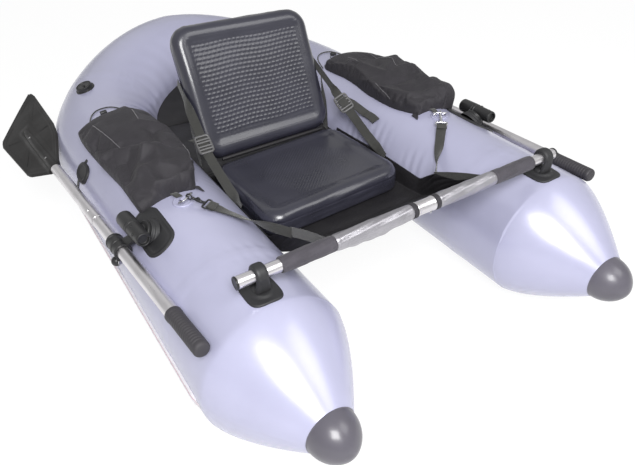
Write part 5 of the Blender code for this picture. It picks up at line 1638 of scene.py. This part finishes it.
def make_bags():
    """Slack cloth shell over a flat underside, with its trim."""
    v = np.linspace(0, 1, BAG_ROWS)[:, None]
    u = np.linspace(0, 1, BAG_COLS)[None]
    under_u = np.linspace(1, 0, BAG_UNDER)[None]
    y = BAG_Y[0] + BAG_LENGTH * v
    for side, word in SIDES:
        outer, inner = bag_form(v, side)[:2]
        over = on_leg(outer + (inner - outer) * u, y, bag_height(u, v, side))
        under = on_leg(outer + (inner - outer) * under_u, y, 0.0004)
        points = np.concatenate([over, under], 1)
        bag = closed_skin("pack_shell_" + word, points, "black_fabric", side, 80)
        free = np.zeros(points.shape[:2])
        free[:, :BAG_COLS] = smoothstep(bag_body(u, v) / 0.45) * smoothstep(np.minimum(u, 1 - u) / 0.06)
        crumple(bag, np.append(free.ravel(), [0, 0]))
        flat = off_hull(vertices(bag.data), side, 0.0006)
        bag.data.vertices.foreach_set("co", flat.ravel())
        smooth = bag.modifiers.new("cloth rounding", "SUBSURF")
        smooth.levels = smooth.render_levels = 1
        fixed(bag, "black_fabric", "side_bag_" + word)
        trim_bag(side, word, flat[:-2].reshape(points.shape)[:, :BAG_COLS])


def trim_bag(side, word, grid):
    """Piping, draw cords with their toggle, corner tab and the tie to the ring's tab."""
    made = []
    for number, (start, end) in enumerate(BAG_PIPING):
        u, v = between(np.array(start), np.array(end), 40).T
        path = on_grid(grid, u, v) + 0.0009 * UP
        made.append(rope(f"piping_{number}_{word}", path, 0.0010, "bag_piping", count=8))
    for name, knots, height, count, radius in (
        ("draw_cord_", DRAW_CORD, 0.0024, 120, 0.0019), ("draw_loop_", DRAW_LOOP, 0.0020, 80, 0.0014)
    ):
        cord = smooth_path([on_leg(angle, y, height) * (side, 1, 1) for angle, y in knots], count)
        made.append(rope(name + word, cord, radius, "black_webbing", count=10))
    profile = [(0, -0.010), (0.0055, -0.0095), (0.0062, 0), (0.0055, 0.0095), (0, 0.010)]
    at, run = cord[40] + 0.0045 * UP, cord[41] - cord[39]
    made.append(lathe("toggle_" + word, profile, (0.002, 4), at, run, "black_plastic", count=28))
    fixed(joined_pieces(made, "pack_trim_" + word), "black_fabric")
    share = np.linspace(0, 1, 26)[:, None]
    across = np.linspace(-1, 1, 17)[None]
    inner = BAG_FORM[side][1][0]
    corner = on_leg(inner - 1.0, BAG_Y[0] + 0.020, 0.0028)
    tip = on_leg(inner + 6.0, BAG_Y[0] - 0.012, 0.0024)
    spread = (0.021 * (1 - share) + 0.0015) * across
    tab = corner + (tip - corner) * share[..., None] + spread[..., None] * (0.7, 0.25, 0.66)
    piece = surface("pack_tab_" + word, off_hull(tab, RIGHT, 0.0024), "black_fabric", side)
    thicken(piece)
    fixed(piece, "black_fabric")
    path = between(on_leg(87.0, BAG_Y[0] + 0.004, 0.0035), on_leg(89.5, RING_Y + 0.016, 0.0045), 24)
    path = path + (0, 0, 0.0015) * np.sin(np.linspace(0, math.pi, 24))[:, None]
    fixed(webbing("pack_tie_" + word, path, ACROSS, 0.016, CLOTH_T, side), "black_webbing")


# Valves


def make_valves():
    """Flanged valve with a ring and well, and a cap with a moulded grip."""
    centre, ahead, behind = (stern_curve(VALVE_SHARE + step) for step in (0, 0.01, -0.01))
    run = unit(ahead - behind)
    outward = -unit(np.cross(UP, run))
    upward = -np.cross(run, outward)
    upward = upward if upward[2] > 0 else -upward
    normal = outward * math.cos(VALVE_TILT) + upward * math.sin(VALVE_TILT)
    base = centre + normal * (HULL_R - 0.0014)
    top, floor = VALVE_TOP, VALVE_TOP - VALVE_WELL
    body = [
        (0, floor), (0.0212, floor), (0.0212, top), (0.0245, top),
        (0.0249, 0.0032), (0.0292, 0.0026), (0.030, -0.001),
    ]
    cap = [
        (0, top - 0.0006), (0.0150, top - 0.0006), (0.0162, top + 0.0001), (0.0192, top),
        (0.0205, top - 0.0012), (0.0206, floor + 0.0004), (0, floor + 0.0004),
    ]
    across = axes_along(normal)[0]
    path = base + normal * (top + 0.0012) + np.linspace(-0.0145, 0.0145, 30)[:, None] * across
    path = path + normal * 0.0018 * np.cos(np.linspace(-1.4, 1.4, 30))[:, None]
    for side, word in SIDES:
        ring = lathe("valve_ring_" + word, body, (0.0011, 4), base, normal, "black_plastic", side)
        fixed(ring, "black_plastic", "valve_body_" + word)
        disc = lathe("valve_disc_" + word, cap, (0.0008, 4), base, normal, "black_plastic", side)
        grip = webbing("valve_grip_" + word, path, normal, 0.0062, 0.0052, side, "black_plastic")
        name = "valve_cap_" + word
        fixed(joined_pieces([disc, grip]), "black_plastic", name, body=name)


# Oars and oarlocks


def oar_point(along):
    """Point on the stowed +X oar's axis, measured from the collar towards the blade."""
    return from_bar(*COLLAR) + unit(OAR_RUN) * along


def oar_axes():
    """Blade's across and face directions on the +X side."""
    run = unit(OAR_RUN)
    across = unit(np.cross(run, radial(BLADE_ANGLE)))
    across = -across if across[0] > 0 else across
    return across, np.cross(across, run)


def make_blade(side, word):
    """Moulded blade: a polar grid over its outline, closed round the rim.

    The face has a rolled rim, a spine that fades towards the tip, and two shallow panels.
    """
    corners = softened([(a * BLADE_HALF, b * BLADE_L, 0) for a, b in BLADE_RIM], 0.018, 5, True)
    rim = smooth_path(corners, 220, True)[:, :2]
    middle = np.array((0.0, 0.5 * BLADE_L))
    share = np.concatenate([np.linspace(0.03, 0.94, 44), [0.965, 0.985, 0.997, 1.0]])[:, None]
    run = unit(OAR_RUN)
    across, face = oar_axes()
    start = oar_point(SHAFT_REACH + BLADE_GAP)
    flat = middle + (rim - middle)[None] * share[..., None]
    a, b = flat[..., 0], flat[..., 1]
    edge = np.sqrt(np.clip(1 - ((share - 0.94) / 0.06).clip(0) ** 2, 0, 1))
    bead = 0.0012 * hill(share, 0.955, 0.018)
    along = np.clip(b / BLADE_L, 0, 1)
    spine = 0.0045 * smoothstep((0.026 - np.abs(a)) / 0.014) * smoothstep((0.68 - along) / 0.08)
    hollow = -0.0007 * smoothstep((np.abs(a) - 0.02) / 0.01) * smoothstep((0.86 - share) / 0.06)
    height = BLADE_HALF_T * edge + (bead + spine + hollow) * (edge > 0.5)
    cup = 0.0016 * (a / BLADE_HALF) ** 2
    plane = start + a[..., None] * across + b[..., None] * run
    front, back = (plane + (facing * height + cup)[..., None] * face for facing in (1, -1))
    points = np.concatenate([front, back[::-1][1:]])
    blade = closed_skin("blade_" + word, points, "blade", side, 40)
    neck = [
        (0, -0.036), (0.0130, -0.036), (0.0130, -0.0005), (0.0150, 0.0), (0.0150, 0.02),
        (0.0142, 0.22), (0.0118, 0.31), (0.0070, 0.348), (0, 0.356),
    ]
    socket = lathe("blade_neck_" + word, neck, (0.008, 5), start, run, "blade", side)
    fixed(joined_pieces([blade, socket]), "black_plastic", "oar_blade_" + word, body="oar_" + word)
    rivet = [(0.0036, -0.0008), (0.0036, 0.0004), (0.0024, 0.0013), (0, 0.0015)]
    for number, at in enumerate((0.07, 0.255)):
        name, spot = f"rivet_{number}_{word}", start + run * at - face * 0.0143
        head = lathe(name, rivet, (0.0008, 4), spot, -face, "plated_steel", side, count=28)
        fixed(head, "plated_steel", body="oar_" + word)


def make_oars():
    """Shaft with its joint sleeve, ribbed grip, and blade."""
    run = unit(OAR_RUN)
    wall = tube_wall(OAR_R, -GRIP_FRONT + 0.006, SHAFT_REACH)
    low, high = OAR_R + 0.0001, OAR_R + 0.0011
    sleeve = [(low, 0.140), (high, 0.1405), (high, 0.2295), (low, 0.230)]
    grip = [(0, 0), (0.0105, 0.0), (0.0146, 0.0016), (0.0166, 0.0052), (0.0168, 0.010)]
    for rib in range(13):
        at = 0.013 + rib * 0.0078
        grip += [(0.0168, at), (0.0160, at + 0.0007), (0.0160, at + 0.0017), (0.0168, at + 0.0024)]
    grip += [(0.0168, 0.1165), (0.0177, 0.1178), (0.0179, 0.1275), (0.0170, 0.129), (OAR_R + 0.0003, 0.129)]
    rows = (
        ("shaft_tube_", wall, (0.0006, 3), 0, "anodised_aluminium", True, "oar_shaft_"),
        ("shaft_joint_", sleeve, (0.0005, 3), 0, "anodised_aluminium", True, None),
        ("hand_grip_", grip, (0.0006, 2), -GRIP_FRONT, "grip", False, "oar_grip_"),
    )
    for side, word in SIDES:
        for name, profile, soft, at, look, ring, node_name in rows:
            piece = lathe(name + word, profile, soft, oar_point(at), run, look, side, ring)
            slot = "black_rubber" if look == "grip" else look
            fixed(piece, slot, *([node_name + word] if node_name else []), body="oar_" + word)
        make_blade(side, word)


def make_locks():
    """Welded base with a rim and boss, swivel with barrel and collar, ball knob with its hub."""
    def dish(a, b):
        past = np.maximum(np.abs(b) - 0.0425, 0)
        rim = (np.abs(a / 0.040) ** 2.6 + np.abs(past / 0.040) ** 2.6) ** (1 / 2.6)
        return 0.0013 * hill(rim, 0.84, 0.05) + 0.0009 * smoothstep((0.66 - rim) / 0.05)

    base = on_leg(LOCK_ANGLE, LOCK_Y, 0)
    normal = radial(LOCK_TILT)
    run = unit(OAR_RUN)
    collar = oar_point(0)
    boss = [
        (0.0355, -0.004), (0.034, 0.0035), (0.0300, 0.0060), (0.0290, 0.0122), (0.0275, 0.0125), (0.0, 0.0125)
    ]
    low, half, wide = SWIVEL_FOOT, COLLAR_HALF, COLLAR_R
    disc = [
        (0, low), (0.0262, low), (0.0270, low + 0.001), (0.0270, low + 0.0062),
        (0.0255, low + 0.0075), (0.0165, low + 0.0082), (0.0150, low + 0.0102), (0.0, low + 0.0105),
    ]
    ring = [
        (wide, -half), (wide, -half + 0.005), (0.0192, -half + 0.006), (0.0192, -0.0055),
        (wide, -0.0045), (wide, 0.0045), (0.0192, 0.0055), (0.0192, half - 0.006),
        (wide, half - 0.005), (wide, half), (0.0152, half), (0.0152, -half),
    ]
    barrel = [
        (0, -0.052), (0.0115, -0.052), (0.0118, -0.0595), (0.0150, -0.0600), (0.0168, -0.0560),
        (0.0176, -0.020), (0.0176, 0.000), (0.0188, 0.0010), (0.0190, 0.0045), (0.0178, 0.0055),
        (0.0178, 0.0085), (0.0190, 0.0100), (0.0190, 0.0565), (0.0160, 0.0598), (0, 0.060),
    ]
    lug = [(0, 0.0), (0.0042, 0.0), (0.0040, 0.0018), (0.0022, 0.0024), (0, 0.0024)]
    foot = base + normal * (low + ARM_HALF_T)
    barrel_at = base + normal * (low + 0.0227) + run * 0.010
    rows = [
        ("swivel_disc_", disc, (0.0010, 4), base, normal, False, 72),
        ("swivel_collar_", ring, (0.0009, 3), collar, run, True, 72),
        ("swivel_barrel_", barrel, (0.0014, 4), barrel_at, run, False, 72),
    ]
    for number, (at, turn) in enumerate(((-0.034, 0.5), (-0.010, 1.1))):
        out = unit(np.cross(run, UP) * math.cos(turn) + UP * math.sin(turn))
        spot = barrel_at + run * at + out * 0.0168
        rows.append((f"swivel_lug_{number}_", lug, (0.0006, 3), spot, out, False, 24))
    for side, word in SIDES:
        patch = stadium_patch("lock_patch_" + word, (LOCK_PATCH_ANGLE, LOCK_Y), "black_rubber", side, dish)
        stem = lathe("lock_boss_" + word, boss, (0.0016, 4), base, normal, "black_rubber", side)
        fixed(joined_pieces([patch, stem]), "black_rubber", "oarlock_base_" + word)
        made = [
            lathe(name + word, profile, soft, origin, axis, "black_plastic", side, closed, count)
            for name, profile, soft, origin, axis, closed, count in rows
        ]
        made.append(lock_arm("swivel_arm_" + word, foot, collar, side))
        swivel = joined_pieces(made)
        fixed(swivel, "black_plastic", "oarlock_swivel_" + word, body="swivel_" + word)
        make_knob(side, word, collar, run)


def lock_arm(name, foot, collar, side):
    """Web from disc to collar: a rounded box section swept between them, waisted in the middle."""
    ahead = np.array((0, 1.0, 0))
    face = np.cross(unit((collar - foot) * (1, 0, 1)), ahead)
    share = np.linspace(0, 0.88, 24)[:, None]
    turn = turns(40)[None]
    reach = squircle(turn, 5)
    a = reach * np.cos(turn) * (0.018 + 0.002 * share) * (1 - 0.22 * np.sin(math.pi * share))
    b = reach * np.sin(turn) * ARM_HALF_T * (0.9 + 0.1 * share)
    path = foot + (collar - foot) * share
    points = path[:, None] + a[..., None] * ahead + b[..., None] * face
    return closed_skin(name, points, "black_plastic", side, 50)


def make_knob(side, word, collar, run):
    """Ball on the lock pin, with a plated hub let into it."""
    pin = "lock_pin_" + word
    out = radial(KNOB_ANGLE)
    out = unit(out - run * np.dot(out, run))
    ball = COLLAR_R + KNOB_NECK + KNOB_R
    angle = np.linspace(0, 0.86 * math.pi, 30)
    neck = [(0.0056, 0.0223), (0.0056, 0.0209), (0.003, 0.0209), (0.003, 0.0174), (0, 0.0174)]
    profile = np.vstack([np.stack([KNOB_R * np.sin(angle), ball + KNOB_R * np.cos(angle)], -1), neck])
    knob = lathe("pin_knob_" + word, profile, None, collar, out, "black_plastic", side, count=56)
    fixed(knob, "black_plastic", pin, body=pin)
    hub = [(0.0058, -0.0006), (0.0058, 0.0008), (0.0042, 0.0016), (0.0020, 0.0017), (0, 0.0012)]
    facing = unit(out * 0.35 + (-0.55, -0.75, 0.35))
    centre = collar + out * ball + facing * 0.0114
    plate = lathe("pin_hub_" + word, hub, (0.0005, 4), centre, facing, "plated_steel", side, count=36)
    fixed(plate, "plated_steel", body=pin)


def make_keepers():
    """Oar keeper: a welded lug, a strap over the oar and a tab on the flank."""
    def dished(a, b):
        return 0.0034 * smoothstep((np.hypot(a / 0.026, b / 0.038) - 0.62) / 0.14) - 0.002

    rows = (
        ("keeper_lug_", (0.052, 0.076), (34, 0.758), 0.006, 2.6, dished),
        ("keeper_web_", (0.130, 0.016), (23, KEEPER_Y), 0.0014, 12, None),
        ("keeper_tab_", (0.030, 0.030), (8, KEEPER_Y), 0.005, 6, None),
    )
    for side, word in SIDES:
        made = [
            leg_patch(name + word, size, place, thickness, "black_rubber", side, power, form)
            for name, size, place, thickness, power, form in rows
        ]
        fixed(joined_pieces(made), "black_rubber", "oar_keeper_" + word)


# Frame pieces that still show


def dress_frame():
    """Buttons keep their frame meshes and get the plated finish in place of the plain one."""
    for node_name in ("crossbar_button", "oar_button_right", "oar_button_left"):
        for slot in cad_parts[node_name].material_slots:
            slot.material = LOOKS["plated_steel"]


# Add-on


def colour_property(name, description, default):
    return bpy.props.FloatVectorProperty(
        name=name, description=description, default=default, subtype="COLOR", size=3, min=0, max=1
    )


def number_property(name, description, default, kind="NONE"):
    return bpy.props.FloatProperty(name=name, description=description, default=default, unit=kind)


class FloatTubeSizes(bpy.types.PropertyGroup):
    """Sizes of the finished surfaces that a user may change"""

    web: number_property("Webbing thickness", "Thickness of the straps", 0.0021, "LENGTH")


class FloatTubeFinishes(bpy.types.PropertyGroup):
    """Base colours of the finishes"""

    hull: colour_property("Hull", "Silver coated fabric of the hull", (0.445, 0.445, 0.60))
    nose: colour_property("Nose caps", "Rubber cups over the cones", (0.115, 0.108, 0.132))
    strake: colour_property("Strake", "Rubbing strip on the flanks", (0.72, 0.70, 0.74))
    line: colour_property("Pinstripe", "Thin lines along the strake", (0.55, 0.16, 0.26))
    metal: colour_property("Metal", "Aluminium of the crossbar and shafts", (0.80, 0.78, 0.80))
    cloth: colour_property("Cloth", "Pack cloth of the bags and sleeves", (0.0215, 0.0195, 0.0240))
    sleeve: colour_property("Silver sleeve", "Coated cloth of the apron sleeves", (0.42, 0.41, 0.44))
    webbing: colour_property("Webbing", "Straps", (0.024, 0.024, 0.0215))
    vinyl: colour_property("Vinyl", "Seat and backrest", (0.031, 0.031, 0.046))
    blade: colour_property("Blades", "Moulded oar blades", (0.010, 0.009, 0.009))
    grip: colour_property("Grips", "Rubber grips of the oars", (0.042, 0.039, 0.045))


class FloatTubeStage(bpy.types.PropertyGroup):
    """Camera, floor and lamps"""

    lens: number_property("Lens", "Focal length on a 36 mm wide sensor, in millimetres", 34.91)
    floor_size: number_property("Floor", "Half the floor's width", 40.0, "LENGTH")
    sky: number_property("Sky light", "Strength of the even light from all round", 0.29)
    key: number_property("Key lamp", "Lamp in front, left and above", 106.0)
    fill: number_property("Fill lamp", "Lamp on the right", 26.0)
    back: number_property("Back lamp", "Lamp behind and above", 4.0)


class BuildMixin:
    """Runs the class's steps with the scene's settings."""

    bl_options = {"REGISTER", "UNDO"}
    steps = ()

    def execute(self, context):
        if not LOOKS:
            make_looks(context.scene.float_tube_finishes)
        for step in self.steps:
            step()
        return {"FINISHED"}


class FLOATTUBE_OT_hull(BuildMixin, bpy.types.Operator):
    """Builds the hull's skin, nose cups and strakes"""

    bl_idname = "float_tube.hull"
    bl_label = "Hull"
    steps = (make_hull, make_nose_caps, make_strakes)


class FLOATTUBE_OT_crossbar(BuildMixin, bpy.types.Operator):
    """Builds the crossbar with its ferrule, sleeves and mounts"""

    bl_idname = "float_tube.crossbar"
    bl_label = "Crossbar"
    steps = (make_crossbar, make_sleeves, make_mounts)


class FLOATTUBE_OT_seat(BuildMixin, bpy.types.Operator):
    """Builds the seat, the backrest and the cloth under and behind them"""

    bl_idname = "float_tube.seat"
    bl_label = "Seat"
    steps = (make_seat, make_floor, make_deck)


class FLOATTUBE_OT_straps(BuildMixin, bpy.types.Operator):
    """Builds the straps, buckles, rings and snap hooks"""

    bl_idname = "float_tube.straps"
    bl_label = "Straps and rings"
    steps = (make_straps, make_rings)


class FLOATTUBE_OT_bags(BuildMixin, bpy.types.Operator):
    """Builds the side bags and the air valves"""

    bl_idname = "float_tube.bags"
    bl_label = "Bags and valves"
    steps = (make_bags, make_valves)


class FLOATTUBE_OT_oars(BuildMixin, bpy.types.Operator):
    """Builds the oars, oarlocks and keepers"""

    bl_idname = "float_tube.oars"
    bl_label = "Oars and oarlocks"
    steps = (make_oars, make_locks, make_keepers)


class FLOATTUBE_OT_finish(BuildMixin, bpy.types.Operator):
    """Gives the frame's own pieces that still show their materials"""

    bl_idname = "float_tube.finish"
    bl_label = "Frame materials"
    steps = (dress_frame,)


class FLOATTUBE_OT_stage(bpy.types.Operator):
    """Sets the camera, the floor, the lamps and the world"""

    bl_idname = "float_tube.stage"
    bl_label = "Stage"
    bl_options = {"REGISTER", "UNDO"}

    def execute(self, context):
        make_stage(context.scene.float_tube_stage)
        return {"FINISHED"}


OPERATORS = (
    FLOATTUBE_OT_stage,
    FLOATTUBE_OT_hull,
    FLOATTUBE_OT_crossbar,
    FLOATTUBE_OT_seat,
    FLOATTUBE_OT_straps,
    FLOATTUBE_OT_bags,
    FLOATTUBE_OT_oars,
    FLOATTUBE_OT_finish,
)


class FLOATTUBE_PT_panel(bpy.types.Panel):
    """Lists the builders and their settings"""

    bl_idname = "FLOATTUBE_PT_panel"
    bl_label = "Float Tube"
    bl_space_type = "VIEW_3D"
    bl_region_type = "UI"
    bl_category = "Float Tube"

    def draw(self, context):
        for settings in SETTINGS:
            group = getattr(context.scene, settings)
            box = self.layout.box()
            for name in group.__annotations__:
                box.prop(group, name)
        for operator in OPERATORS:
            self.layout.operator(operator.bl_idname)


SETTINGS = {
    "float_tube_sizes": FloatTubeSizes,
    "float_tube_finishes": FloatTubeFinishes,
    "float_tube_stage": FloatTubeStage,
}
CLASSES = (*SETTINGS.values(), *OPERATORS, FLOATTUBE_PT_panel)


def register():
    for cls in CLASSES:
        bpy.utils.register_class(cls)
    for name, group in SETTINGS.items():
        setattr(bpy.types.Scene, name, bpy.props.PointerProperty(type=group))


def unregister():
    for name in SETTINGS:
        delattr(bpy.types.Scene, name)
    for cls in reversed(CLASSES):
        bpy.utils.unregister_class(cls)


def main():
    """Registers the add-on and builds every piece."""
    register()
    for operator in OPERATORS:
        group, name = operator.bl_idname.split(".")
        getattr(getattr(bpy.ops, group), name)()


if __name__ == "__main__":
    main()
